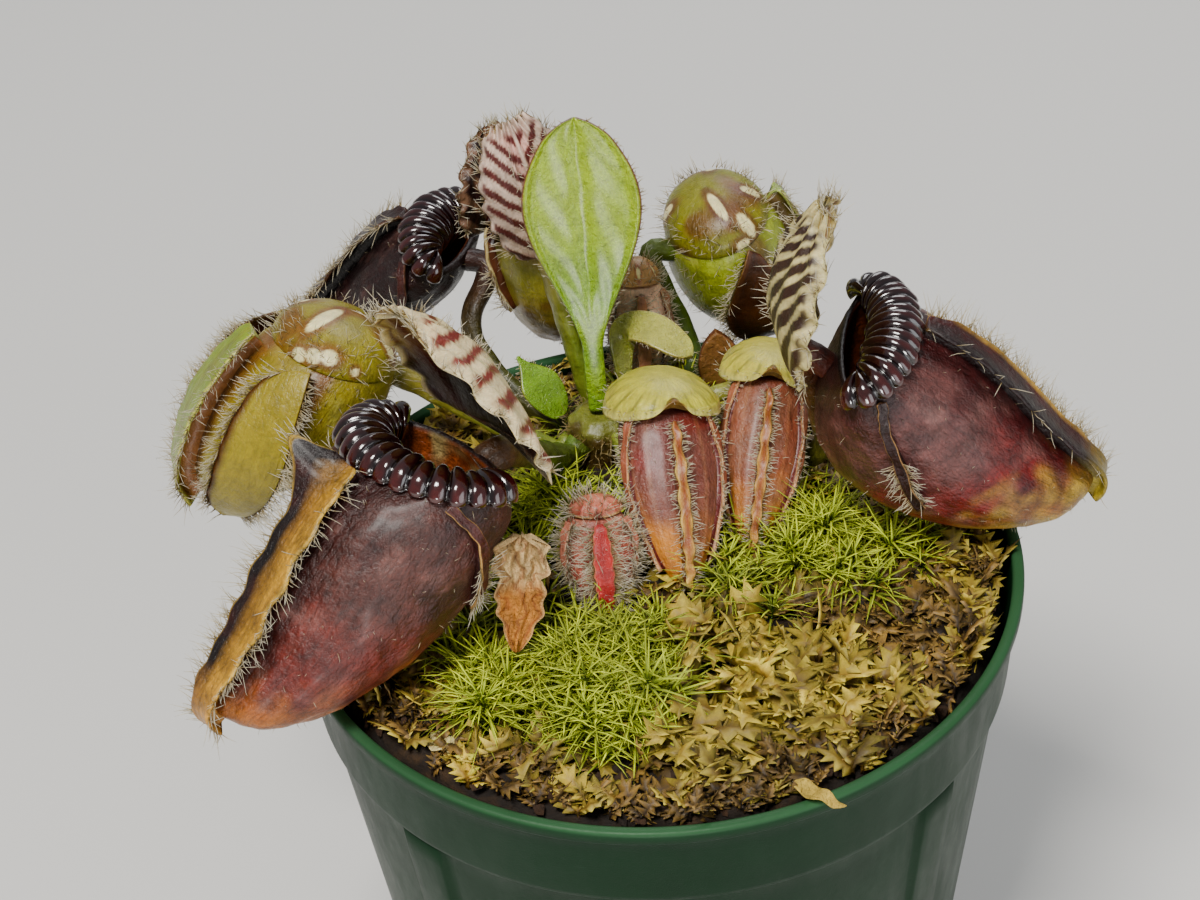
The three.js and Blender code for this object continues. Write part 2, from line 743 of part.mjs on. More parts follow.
function soilBody() {
  const around = 24;
  const rings = 5;
  const bottom = POT_FLOOR + GAP - POT_HEIGHT;
  const surface = closedSurface((angle, v, target) => {
    const row = Math.round(v * (rings + 2));
    const isTop = row <= rings;
    const share = isTop ? row / rings : row === rings + 1 ? 1 : 0;
    const height = isTop ? 0 : bottom;
    const wall = potWallAt(isTop ? POT_HEIGHT : POT_FLOOR) - GAP;
    const x = share * wall * Math.cos(angle);
    const y = share * wall * Math.sin(angle);
    target.set(x, y, isTop ? soilTop(x, y) + height : bottom);
  }, around, rings + 2);
  return fuse([surface], [
    uprightHole(CROWN_PLACE.x, CROWN_PLACE.y, CROWN_RADIUS + GAP + 0.1, 4 - CROWN_ROOT + 0.6),
    uprightHole(-5.6, 4.6, 1.7, 10),
    uprightHole(9.2, 27, 1.9, 10),
  ]);
}
addMesh(plant, "growing_medium", soilBody(), FINISH.soil());

// ---- Moss ---------------------------------------------------------------------------------

// A cushion that lies on the soil, with blades or lobes that stand out of it all round.
function mossTuft({ x, y, reach, blades, length, width, thickness = width, seed }) {
  const random = seeded(seed);
  const rings = 3;
  const rise = reach * 0.26 + 0.8;
  const cushion = closedSurface((angle, v, target) => {
    const row = Math.round(v * (rings + 2));
    const isTop = row < rings;
    const share = row <= rings ? row / rings : row === rings + 1 ? 0.5 : 0;
    const edge = reach * 0.8 * (1 + 0.14 * Math.sin(3 * angle + seed) + 0.08 * Math.sin(5 * angle));
    const px = x + share * edge * Math.cos(angle);
    const py = y + share * edge * Math.sin(angle);
    const top = isTop ? rise * Math.sqrt(1 - share * share) + 0.5 : 0;
    target.set(px, py, soilTop(px, py) + GAP + 0.15 + top);
  }, 10, rings + 2);
  const solids = [cushion];
  for (let i = 0; i < blades; i += 1) {
    const share = Math.sqrt((i + 0.5) / blades);
    const angle = i * 2.39996 + random() * 0.5;
    const lean = radians(12 + 50 * share + 14 * random());
    const long = length * (0.8 + 0.4 * random());
    const blade = new THREE.ConeGeometry(width, long + 1.4, thickness < width ? 4 : 3, 1);
    blade.translate(0, (long + 1.4) / 2 - 1.4, 0);
    blade.scale(1, 1, thickness / width);
    blade.rotateY(random() * 0.8 - 0.4);
    blade.rotateX(Math.PI / 2);
    blade.rotateY(lean);
    blade.rotateZ(angle);
    const px = x + share * reach * 0.62 * Math.cos(angle);
    const py = y + share * reach * 0.62 * Math.sin(angle);
    const rootHeight = soilTop(px, py) + 0.6 + rise * Math.sqrt(1 - share * share * 0.62);
    blade.translate(px, py, rootHeight);
    solids.push(weld(blade));
  }
  return fuse(solids);
}

const STAR_BLADE = { length: 3.2, width: 0.62 };
const LOBE_BLADE = { length: 3.4, width: 1.3, thickness: 0.5 };

// Name, finish and form of each cushion of moss.
const MOSS = [
  ["star_moss_front", "brightMoss", { x: -6.2, y: -19.4, reach: 7.6, blades: 34, seed: 11, ...STAR_BLADE }],
  [
    "star_moss_front_left",
    "brightMoss",
    { x: -16.4, y: -19.4, reach: 4, blades: 13, seed: 12, ...STAR_BLADE },
  ],
  ["star_moss_right", "brightMoss", { x: 17.4, y: -1.8, reach: 4.8, blades: 16, seed: 13, ...STAR_BLADE }],
  ["star_moss_centre", "brightMoss", { x: -10.6, y: 7.2, reach: 3, blades: 9, seed: 14, ...STAR_BLADE }],
  ["lobed_moss_right", "oliveMoss", { x: 14, y: -20.6, reach: 7.4, blades: 15, seed: 15, ...LOBE_BLADE }],
  ["lobed_moss_front", "oliveMoss", { x: 2.4, y: -28.4, reach: 4.6, blades: 9, seed: 16, ...LOBE_BLADE }],
  ["lobed_moss_middle", "oliveMoss", { x: 4.8, y: -13.4, reach: 3.6, blades: 7, seed: 17, ...LOBE_BLADE }],
  ["brown_moss_right", "brownMoss", { x: 27, y: -12.4, reach: 5, blades: 9, seed: 18, ...LOBE_BLADE }],
  ["brown_moss_back", "brownMoss", { x: 21, y: 20, reach: 6, blades: 9, seed: 19, ...LOBE_BLADE }],
];
for (const [name, material, spec] of MOSS) {
  addMesh(plant, name, mossTuft(spec), FINISH[material]());
}

function potBody() {
  const bodyTop = POT_HEIGHT - POT_BAND_HEIGHT;
  const shell = turned([
    [0, 0],
    [POT_FOOT_RADIUS - 1.2, 0],
    [POT_FOOT_RADIUS, 1.2],
    [POT_BODY_RADIUS, bodyTop],
    [POT_BAND_RADIUS, bodyTop + 0.5],
    [POT_RIM_RADIUS - 0.5, POT_HEIGHT - 1.6],
    [POT_RIM_RADIUS, POT_HEIGHT - 1.4],
    [POT_RIM_RADIUS, POT_HEIGHT - 0.3],
    [POT_RIM_RADIUS - 0.3, POT_HEIGHT],
    [POT_RIM_RADIUS - POT_WALL - 0.2, POT_HEIGHT],
    [POT_BAND_RADIUS - POT_WALL, bodyTop + 1],
    [POT_BODY_RADIUS - POT_WALL, bodyTop],
    [POT_FOOT_RADIUS - POT_WALL, POT_FLOOR],
    [0, POT_FLOOR],
  ], POT_SEGMENTS);
  const ribs = POT_RIB_ANGLES.map((degrees) => {
    const width = 4.4;
    const proud = 0.6;
    const outline = new THREE.Shape([
      new THREE.Vector2(POT_FOOT_RADIUS - 0.6, 6),
      new THREE.Vector2(POT_FOOT_RADIUS + proud + 0.5, 6),
      new THREE.Vector2(POT_BODY_RADIUS + proud, bodyTop - 0.2),
      new THREE.Vector2(POT_BODY_RADIUS - 0.6, bodyTop - 0.2),
    ]);
    const rib = new THREE.ExtrudeGeometry(outline, { depth: width, bevelEnabled: false });
    rib.translate(0, 0, -width / 2).rotateX(Math.PI / 2).rotateZ(radians(degrees));
    return weld(rib);
  });
  const holes = POT_RIB_ANGLES.map((degrees) => {
    const hole = new THREE.CylinderGeometry(DRAIN_HOLE_RADIUS, DRAIN_HOLE_RADIUS, 6, 12);
    const angle = radians(degrees + 45);
    hole.rotateX(Math.PI / 2);
    hole.translate(DRAIN_HOLE_RING * Math.cos(angle), DRAIN_HOLE_RING * Math.sin(angle), 0);
    return weld(hole);
  });
  return fuse([shell, ...ribs], holes);
}
addMesh(root, "pot", potBody(), FINISH.pot());

export default root;
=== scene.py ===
"""A small pitcher plant in a round green nursery pot, with moss over damp peat."""

import math

import bpy
import numpy as np
from mathutils import Matrix, Vector


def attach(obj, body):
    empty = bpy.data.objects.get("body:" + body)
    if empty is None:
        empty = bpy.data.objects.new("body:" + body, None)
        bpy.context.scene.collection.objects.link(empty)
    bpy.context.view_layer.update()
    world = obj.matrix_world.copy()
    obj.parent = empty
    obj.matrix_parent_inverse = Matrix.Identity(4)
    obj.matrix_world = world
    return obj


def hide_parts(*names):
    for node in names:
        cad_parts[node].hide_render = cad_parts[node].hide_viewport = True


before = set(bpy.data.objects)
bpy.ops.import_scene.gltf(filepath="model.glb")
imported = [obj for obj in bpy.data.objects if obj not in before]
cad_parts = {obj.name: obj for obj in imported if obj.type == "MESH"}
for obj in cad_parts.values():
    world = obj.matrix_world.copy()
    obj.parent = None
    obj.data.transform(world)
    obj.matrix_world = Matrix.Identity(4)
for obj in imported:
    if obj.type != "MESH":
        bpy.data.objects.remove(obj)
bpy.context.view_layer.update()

# ---- Camera -------------------------------------------------------------------------------

# Lengths are in millimetres until a mesh is made.
MM = 0.001
POT_HEIGHT = 70.0

camera_data = bpy.data.cameras.new("camera")
camera_data.lens = 72
camera_data.sensor_width = 36
camera_data.clip_start = 0.01
camera_data.clip_end = 20
camera = bpy.data.objects.new("camera", camera_data)
bpy.context.collection.objects.link(camera)
right = Vector((0.99779587, -0.02452308, -0.06166054))
up = Vector((0.0632827, 0.63125622, 0.77298828))
ahead = Vector((-0.01996754, 0.77518656, -0.63141673))
turned = Matrix((right, up, -ahead)).transposed().to_4x4()
camera.matrix_world = Matrix.Translation((0, -0.1865006, 0.2369759)) @ turned
bpy.context.scene.camera = camera

# ---- Numbers and colours ------------------------------------------------------------------

GAP = 0.32
CUP_WALL = 1.1
SOIL_EDGE_DEPTH = 4.2
SOIL_RISE = 4.4
POT_BODY_RADIUS = 36.2
POT_FOOT_RADIUS = 30.2
POT_WALL = 1.0
POT_FLOOR = 1.6
CROWN = np.array([-5.0, 18.5, 0.0])
CROWN_RADIUS = 3.6
GOLDEN_ANGLE = 2.39996
# An inset that always reaches a pitcher's middle line.
TO_HEART = 1e3
# The studio is brighter than the photograph, so every tint is deepened by this power.
DEEPEN = 1.3
HASH_PRIMES = (374761393, 668265263, 1274126177)
SEED_PRIME = 1013904223
LOW_32_BITS = 0xFFFFFFFF


def rgb(*values):
    """A colour from 0-255 sRGB to deepened linear light."""
    c = np.array(values, float) / 255
    return np.where(c <= 0.04045, c / 12.92, ((c + 0.055) / 1.055) ** 2.4) ** DEEPEN


def lerp(a, b, t):
    return a + (b - a) * t


def smooth(x, low, high):
    t = np.clip((x - low) / (high - low), 0, 1)
    return t * t * (3 - 2 * t)


def bell(x, width):
    return np.exp(-(x / width) ** 2)


def wrapped(angle):
    """An angle from the keel, between minus and plus half a turn."""
    return (angle + math.pi) % (2 * math.pi) - math.pi


def from_front(angle):
    return np.abs(wrapped(angle))


def turns(count):
    return np.linspace(0, 2 * math.pi, count, endpoint=False)


def stacked(*parts):
    """Points, or rows of values, from one array or number for each part."""
    return np.stack(np.broadcast_arrays(*parts), -1)


def ring(radius, angle, z):
    """Points at a radius and an angle round the z axis."""
    return stacked(radius * np.cos(angle), radius * np.sin(angle), z)


def round_end(t, start, span):
    """A factor that rounds off a leaf's tip from start on."""
    return np.sqrt(np.maximum(1 - (np.maximum(t - start, 0) / span) ** 2, 0.0))


def unit(v):
    return v / np.maximum(np.linalg.norm(v, axis=-1, keepdims=True), 1e-12)


def fill(colour, like):
    """One colour for each place of an array."""
    return np.broadcast_to(colour, np.shape(like) + (3,))


def blend(colour, other, mask):
    return colour + (other - colour) * np.asarray(mask)[..., None]


def coats(colour, *layers):
    """A colour with layers of (colour, mask) blended over it in turn."""
    for other, mask in layers:
        colour = blend(colour, other, mask)
    return colour


def noise(points, size, seed=0):
    """Smooth value noise between -1 and 1, with cells of the given size."""
    p = np.asarray(points, float) / size
    cell = np.floor(p).astype(np.int64)
    f = p - cell
    f = f * f * (3 - 2 * f)
    total = np.zeros(p.shape[:-1])
    for corner in range(8):
        offset = np.array([corner & 1, corner >> 1 & 1, corner >> 2 & 1])
        c = cell + offset
        h = sum(c[..., k] * HASH_PRIMES[k] for k in range(3)) + seed * SEED_PRIME
        h = (h & LOW_32_BITS) ^ ((h & LOW_32_BITS) >> 13)
        h = h * HASH_PRIMES[2] & LOW_32_BITS
        value = ((h ^ (h >> 16)) & 0xFFFF) / 65535
        weight = np.prod(np.where(offset, f, 1 - f), axis=-1)
        total += value * weight
    return total * 2 - 1


def mottled(points, size, seed, low, high):
    """Soft patches from 0 to 1, where the noise climbs from low to high."""
    return smooth(noise(points, size, seed), low, high)


def coin(random, n):
    """Draws of -1 or 1."""
    return np.where(random.uniform(size=n) < 0.5, -1.0, 1.0)


def soil_top(x, y):
    """Height of the peat, as in the solid."""
    share = np.minimum(np.hypot(x, y) / POT_BODY_RADIUS, 1)
    return SOIL_RISE * (1 - share * share) - SOIL_EDGE_DEPTH


def ground(x, y):
    """Height of the loose peat and litter that the moss stands in, fuller by the rim."""
    return soil_top(x, y) + 0.8 + 1.6 * smooth(np.hypot(x, y), 26, 33)


# ---- Meshes -------------------------------------------------------------------------------

# A spike's cross-sections stand at these shares of its length, each with three corners.
SPIKE_SHARES = (0.0, 0.42, 0.78)
SPIKE_CORNERS = (90, 210, 330)
SPIKE_CAPS = ((6, 7, 9), (7, 8, 9), (8, 6, 9), (0, 2, 1))


class Build:
    """Collects closed surfaces for one piece, in millimetres with the pot's rim at 0."""

    def __init__(self):
        self.verts, self.tints, self.lays, self.faces = [], [], [], []
        self.count = 0

    def add(self, verts, faces, tint, lay=None, check=True):
        """Adds a surface; its faces are turned outward where check is set."""
        verts = np.asarray(verts, float)
        if check:
            volume = 0.0
            for face in faces:
                for k in range(1, face.shape[1] - 1):
                    a, b, c = verts[face[:, 0]], verts[face[:, k]], verts[face[:, k + 1]]
                    volume += np.einsum("ij,ij->", a - verts[0], np.cross(b - verts[0], c - verts[0]))
            if volume < 0:
                faces = [face[:, ::-1] for face in faces]
        self.verts.append(verts)
        self.tints.append(np.broadcast_to(np.asarray(tint, float), verts.shape))
        self.lays.append(verts if lay is None else np.asarray(lay, float))
        self.faces += [face + self.count for face in faces]
        self.count += len(verts)

    def loft(self, rows, tint, lay=None, poles=(None, None)):
        """A closed skin over rows of points, with a point at each end."""
        r, a = rows.shape[:2]
        ends = [rows[k].mean(0) if pole is None else pole for pole, k in zip(poles, (0, -1))]
        verts = np.concatenate([[ends[0]], rows.reshape(-1, 3), [ends[1]]])
        at = 1 + np.arange(r * a).reshape(r, a)
        turn = np.roll(at, -1, axis=1)
        quads = np.stack([at[:-1], turn[:-1], turn[1:], at[1:]], -1).reshape(-1, 4)
        first = np.stack([np.zeros(a, int), turn[0], at[0]], -1)
        last = np.stack([np.full(a, r * a + 1), at[-1], turn[-1]], -1)

        def spread(values):
            values = np.broadcast_to(values, rows.shape)
            return np.concatenate([[values[0].mean(0)], values.reshape(-1, 3), [values[-1].mean(0)]])

        lay = spread(rows if lay is None else lay)
        self.add(verts, [quads, np.concatenate([first, last])], spread(tint), lay)

    def spikes(self, roots, heads, sides, lengths, widths, bends, tints, tips, flat=1.0,
               form=(1.0, 0.85, 0.55)):
        """Many thin three-sided spikes: hairs, or small leaves where they are flat."""
        n = len(roots)
        heads = unit(heads)
        sides = unit(np.cross(np.cross(heads, sides), heads))
        other = np.cross(heads, sides)
        lengths, widths = (np.broadcast_to(v, n)[:, None] for v in (lengths, widths))
        verts, colours = [], []
        for share, wide in zip(SPIKE_SHARES, form):
            heart = roots + heads * lengths * share + bends * lengths * share ** 2
            for turn in SPIKE_CORNERS:
                c, s = math.cos(math.radians(turn)), math.sin(math.radians(turn))
                verts.append(heart + (sides * c + other * s * flat) * widths * wide)
                colours.append(lerp(tints, tips, share))
        verts.append(roots + heads * lengths + bends * lengths)
        colours.append(tips)
        verts = np.stack(verts, 1)
        colours = np.stack([np.broadcast_to(c, (n, 3)) for c in colours], 1)
        base = (np.arange(n) * 10)[:, None]
        quads = np.concatenate([base + np.array([a + r, b + r, b + r + 3, a + r + 3])
                                for r in (0, 3) for a, b in ((0, 1), (1, 2), (2, 0))])
        tris = np.concatenate([base + np.array(t) for t in SPIKE_CAPS])
        self.add(verts.reshape(-1, 3), [quads, tris], colours.reshape(-1, 3), check=False)

    def make(self, name, material, slot, replaces=(), smooth_shade=True):
        """Makes the piece, with its tints and its lay as attributes."""
        mesh = bpy.data.meshes.new(name)
        verts = (np.concatenate(self.verts) + (0, 0, POT_HEIGHT)) * MM
        mesh.vertices.add(len(verts))
        mesh.vertices.foreach_set("co", verts.ravel())
        corners = np.concatenate([face.ravel() for face in self.faces])
        sizes = np.concatenate([np.full(len(face), face.shape[1]) for face in self.faces])
        mesh.loops.add(len(corners))
        mesh.loops.foreach_set("vertex_index", corners.astype(np.int32))
        mesh.polygons.add(len(sizes))
        starts = np.concatenate([[0], np.cumsum(sizes)[:-1]])
        mesh.polygons.foreach_set("loop_start", starts.astype(np.int32))
        mesh.polygons.foreach_set("use_smooth", np.full(len(sizes), smooth_shade))
        mesh.update(calc_edges=True)
        tint = mesh.color_attributes.new(name="tint", type="FLOAT_COLOR", domain="POINT")
        colours = np.concatenate([np.clip(np.concatenate(self.tints), 0, 1), np.ones((len(verts), 1))], 1)
        tint.data.foreach_set("color", colours.ravel())
        lay = mesh.attributes.new(name="lay", type="FLOAT_VECTOR", domain="POINT")
        lay.data.foreach_set("vector", np.concatenate(self.lays).ravel())
        mesh.materials.append(material)
        piece = bpy.data.objects.new(name, mesh)
        bpy.context.collection.objects.link(piece)
        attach(piece, "root")
        if replaces:
            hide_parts(*replaces)
        return piece


def spline(rows, t):
    """Uniform Catmull-Rom through the rows, as part of the pitcher's form."""
    rows = np.asarray(rows, float)
    n = len(rows) - 1
    x = np.clip(np.asarray(t, float), 0, 1) * n
    i = np.minimum(np.floor(x).astype(int), n - 1)
    w = (x - i)[..., None]
    p1, p2 = rows[i], rows[i + 1]
    p0 = np.where((i > 0)[..., None], rows[np.maximum(i - 1, 0)], 2 * rows[0] - rows[1])
    p3 = np.where((i < n - 1)[..., None], rows[np.minimum(i + 2, n)], 2 * rows[n] - rows[n - 1])
    m1, m2 = (p2 - p0) / 2, (p3 - p1) / 2
    return p1 + m1 * w + (3 * (p2 - p1) - 2 * m1 - m2) * w ** 2 + (2 * (p1 - p2) + m1 + m2) * w ** 3


def run_along(points):
    """The distance covered at each point of a line."""
    return np.concatenate([[0], np.cumsum(np.linalg.norm(np.diff(points, axis=0), axis=1))])


def sample(values, run, at):
    return np.stack([np.interp(at, run, column) for column in values.T], 1)


def even(path, count):
    """Points at even steps along a smooth curve through the path's places."""
    fine = spline(path, np.linspace(0, 1, 400))
    run = run_along(fine)
    return sample(fine, run, np.linspace(0, run[-1], count))


def ahead_of(points):
    return unit(np.gradient(points, axis=0))


def carry_frame(points, first):
    """Two side directions for each point of a path, carried along without twist."""
    heads = ahead_of(points)
    sides = [unit(np.cross(np.cross(heads[0], first), heads[0]))]
    for head in heads[1:]:
        sides.append(unit(sides[-1] - head * np.dot(sides[-1], head)))
    return np.array(sides), np.cross(heads, sides)


# ---- Materials ----------------------------------------------------------------------------

class Graph:
    """A material's node tree, with short names for adding and linking nodes."""

    def __init__(self, name):
        self.material = bpy.data.materials.new(name)
        self.material.use_nodes = True
        self.tree = self.material.node_tree
        self.bsdf = self.tree.nodes["Principled BSDF"]

    def put(self, socket, value):
        """Links another socket to this one, or sets its value."""
        if isinstance(value, bpy.types.NodeSocket):
            self.tree.links.new(value, socket)
        else:
            socket.default_value = value

    def node(self, kind, values=None, **options):
        node = self.tree.nodes.new(kind)
        for key, value in options.items():
            setattr(node, key, value)
        for key, value in (values or {}).items():
            self.put(node.inputs[key], value)
        return node

    def set(self, **values):
        """Sets the shader's own inputs; an underscore stands for a space."""
        for key, value in values.items():
            self.put(self.bsdf.inputs[key.replace("_", " ")], value)

    def tint(self):
        return self.node("ShaderNodeAttribute", attribute_name="tint").outputs["Color"]

    def place(self, scale=(1, 1, 1), lay=False):
        """Places on the object in millimetres, or along and round a piece."""
        if lay:
            source = self.node("ShaderNodeAttribute", attribute_name="lay").outputs["Vector"]
        else:
            source = self.node("ShaderNodeTexCoord").outputs["Object"]
            scale = tuple(1000 * s for s in scale)
        return self.node("ShaderNodeMapping", {"Vector": source, "Scale": scale}).outputs["Vector"]

    def grain(self, vector, scale, detail=4, rough=0.6):
        values = {"Vector": vector, "Scale": scale, "Detail": detail, "Roughness": rough}
        return self.node("ShaderNodeTexNoise", values).outputs["Fac"]

    def ramp(self, source, start, end, low=0.3, high=0.7):
        """Goes from start to end as the source goes from low to high."""
        values = {"Value": source, "From Min": low, "From Max": high, "To Min": start, "To Max": end}
        return self.node("ShaderNodeMapRange", values).outputs["Result"]

    def shade(self, colour, *factors):
        """Multiplies a colour by grey factors."""
        for factor in factors:
            values = {0: colour, 1: factor}
            colour = self.node("ShaderNodeVectorMath", values, operation="MULTIPLY").outputs[0]
        return colour

    def mix(self, factor, first, second):
        values = {0: factor, 6: first, 7: second}
        return self.node("ShaderNodeMix", values, data_type="RGBA").outputs[2]

    def bump(self, height, distance, strength=1.0, under=None):
        values = {"Height": height, "Distance": distance * MM, "Strength": strength}
        if under is not None:
            values["Normal"] = under
        return self.node("ShaderNodeBump", values).outputs["Normal"]


def tissue(name, rough=0.42, striae=0.5, cells=0.2, coat=0.15, mottle=0.22, glow=0.15, crumple=0.4,
           net=0.0, crinkle=0.35, fibre=(2.4, 0.28, 1)):
    """Plant skin: tinted by its form, with mottling, dents, lengthwise striae and small cells."""
    g = Graph(name)
    tint = g.tint()
    blotch = g.grain(g.place(), 0.45, 5, 0.65)
    dent = g.grain(g.place(), 0.95, 4, 0.6)
    speck = g.grain(g.place(), 3.0, 3, 0.7)
    long = g.grain(g.place(fibre, lay=True), 1.0, 4, 0.6)
    web = g.node("ShaderNodeTexVoronoi", {"Vector": g.place((1.0, 0.55, 1), lay=True), "Scale": 1.15},
                 feature="DISTANCE_TO_EDGE").outputs["Distance"]
    vein = g.ramp(web, 0.0, 1.0, 0.0, 0.12)
    shade = g.ramp(blotch, 1 - mottle, 1 + mottle)
    streak = g.ramp(long, 1 - 0.5 * mottle, 1 + 0.5 * mottle)
    spot = g.ramp(speck, 1 - 0.4 * mottle, 1 + 0.4 * mottle)
    colour = g.shade(tint, shade, streak, spot)
    colour = g.shade(colour, g.ramp(vein, 1 - net, 1.0, 0, 1))
    normal = g.bump(dent, 0.7, crumple)
    normal = g.bump(long, 0.35, striae, normal)
    normal = g.bump(vein, 0.12, cells, normal)
    normal = g.bump(speck, 0.1, crinkle, normal)
    g.set(Base_Color=colour, Roughness=g.ramp(dent, rough - 0.1, rough + 0.1), Normal=normal,
          Subsurface_Weight=glow, Subsurface_Radius=(0.0010, 0.0005, 0.0003), Subsurface_Scale=1.0,
          Specular_IOR_Level=0.36, Coat_Weight=coat, Coat_Roughness=0.28)
    return g.material


def hoop_gloss():
    g = Graph("mouth_ring_gloss")
    tint = g.tint()
    blotch = g.grain(g.place(), 0.9, 4, 0.6)
    fine = g.grain(g.place((3.2, 0.5, 1), lay=True), 1.0, 3, 0.6)
    g.set(Base_Color=g.shade(tint, g.ramp(blotch, 0.6, 1.5)), Roughness=g.ramp(blotch, 0.1, 0.22),
          Normal=g.bump(fine, 0.12, 0.35), Coat_Weight=1.0, Coat_Roughness=0.08)
    return g.material


def hair_stuff():
    g = Graph("hair")
    tint = g.tint()
    blotch = g.grain(g.place(), 2.0, 2, 0.5)
    g.set(Base_Color=g.shade(tint, g.ramp(blotch, 0.85, 1.1)), Roughness=0.38, Transmission_Weight=0.15,
          Subsurface_Weight=0.2, Subsurface_Radius=(0.0005, 0.0005, 0.0004))
    return g.material


def moss_leafage():
    g = Graph("moss_leaves")
    tint = g.tint()
    blotch = g.grain(g.place(), 0.5, 4, 0.6)
    fine = g.grain(g.place(), 5.0, 3, 0.6)
    colour = g.shade(g.shade(tint, g.ramp(blotch, 0.68, 1.3, 0.25, 0.75)), g.ramp(fine, 0.85, 1.15))
    g.set(Base_Color=colour, Roughness=g.ramp(fine, 0.5, 0.72), Normal=g.bump(fine, 0.06, 0.5),
          Subsurface_Weight=0.25, Subsurface_Radius=(0.0008, 0.001, 0.0003))
    return g.material


def peat():
    g = Graph("peat")
    tint = g.tint()
    blotch = g.grain(g.place(), 0.8, 6, 0.7)
    fine = g.grain(g.place(), 4.0, 5, 0.75)
    colour = g.shade(g.shade(tint, g.ramp(blotch, 0.45, 1.7, 0.25, 0.75)), g.ramp(fine, 0.7, 1.3))
    normal = g.bump(fine, 0.3, 0.8, g.bump(blotch, 0.9, 0.7))
    g.set(Base_Color=colour, Roughness=g.ramp(blotch, 0.62, 0.95), Normal=normal)
    return g.material


def moulded_plastic():
    """Dark green moulded plastic: fine moulding grain, faint scuffs and water marks."""
    g = Graph("pot_plastic")
    tint = g.tint()
    tone = g.grain(g.place(), 0.06, 5, 0.6)
    stain = g.grain(g.place((1, 1, 0.35)), 0.22, 6, 0.7)
    speck = g.grain(g.place(), 7.0, 2, 0.5)
    scuff = g.grain(g.place((0.3, 0.3, 4.0)), 0.9, 4, 0.7)
    colour = g.shade(tint, g.ramp(tone, 0.86, 1.16))
    film = g.ramp(stain, 0.0, 0.14, 0.56, 0.78)
    colour = g.mix(film, colour, (0.03, 0.055, 0.035, 1))
    scratch = g.ramp(scuff, 0.0, 0.16, 0.66, 0.72)
    colour = g.mix(scratch, colour, (0.05, 0.09, 0.06, 1))
    normal = g.bump(speck, 0.05, 0.5, g.bump(tone, 0.5, 0.3))
    g.set(Base_Color=colour, Roughness=g.ramp(stain, 0.34, 0.54, 0.35, 0.75), Normal=normal,
          Specular_IOR_Level=0.14)
    return g.material


MATURE = tissue("mature_skin", rough=0.4, striae=0.35, cells=0.25, mottle=0.5, glow=0.03, crumple=0.6,
                net=0.22, crinkle=0.9)
GREEN = tissue("green_skin", rough=0.38, striae=0.3, coat=0.22, mottle=0.26, glow=0.2, crumple=0.35,
               net=0.08)
SMALL = tissue("small_skin", rough=0.4, striae=0.2, coat=0.22, mottle=0.26, glow=0.1, crumple=0.6,
               net=0.12, crinkle=0.6)
LID = tissue("lid_skin", mottle=0.2)
LEAF = tissue("leaf_skin", rough=0.22, striae=0.7, cells=0.0, coat=0.8, crumple=1.1, crinkle=3.0,
              fibre=(2.8, 1.3, 1))
DRY = tissue("dry_skin", rough=0.7, striae=1.0, cells=0.5, coat=0.0, mottle=0.35, glow=0.05, crumple=1.0)
RING = hoop_gloss()
HAIR = hair_stuff()
MOSS = moss_leafage()
PEAT = peat()
PLASTIC = moulded_plastic()

# ---- The form of a pitcher, as in the solids ----------------------------------------------

# Each row has the share of the depth, how far the front and the back bulge, half the width, and
# where between back and front the pitcher is widest.
MATURE_FORM = [
    (0.00, 0.00, 0.00, 0.98, 0.40), (0.05, 0.10, 0.28, 1.00, 0.43), (0.13, 0.18, 0.64, 1.02, 0.46),
    (0.28, 0.20, 1.10, 1.02, 0.50), (0.46, 0.15, 1.46, 1.00, 0.50), (0.63, 0.08, 1.56, 0.93, 0.50),
    (0.79, 0.06, 1.50, 0.78, 0.52), (0.91, 0.02, 1.32, 0.56, 0.55), (0.98, -0.26, 1.08, 0.32, 0.55),
    (1.00, -0.63, 0.63, 0.00, 0.50),
]
YOUNG_FORM = [
    (0.00, 0.00, 0.00, 0.90, 0.50), (0.10, 0.12, 0.20, 0.98, 0.50), (0.30, 0.22, 0.50, 1.00, 0.50),
    (0.50, 0.25, 0.70, 0.95, 0.50), (0.70, 0.20, 0.75, 0.80, 0.50), (0.87, 0.10, 0.66, 0.55, 0.50),
    (0.97, -0.08, 0.48, 0.28, 0.50), (1.00, -0.30, 0.30, 0.00, 0.50),
]
SLIM_FORM = [
    (0.00, 0.00, 0.00, 0.80, 0.50), (0.12, 0.10, 0.12, 0.94, 0.50), (0.32, 0.20, 0.30, 1.00, 0.50),
    (0.54, 0.24, 0.38, 0.88, 0.50), (0.76, 0.20, 0.34, 0.62, 0.50), (0.92, 0.10, 0.22, 0.36, 0.50),
    (1.00, 0.00, 0.00, 0.00, 0.50),
]


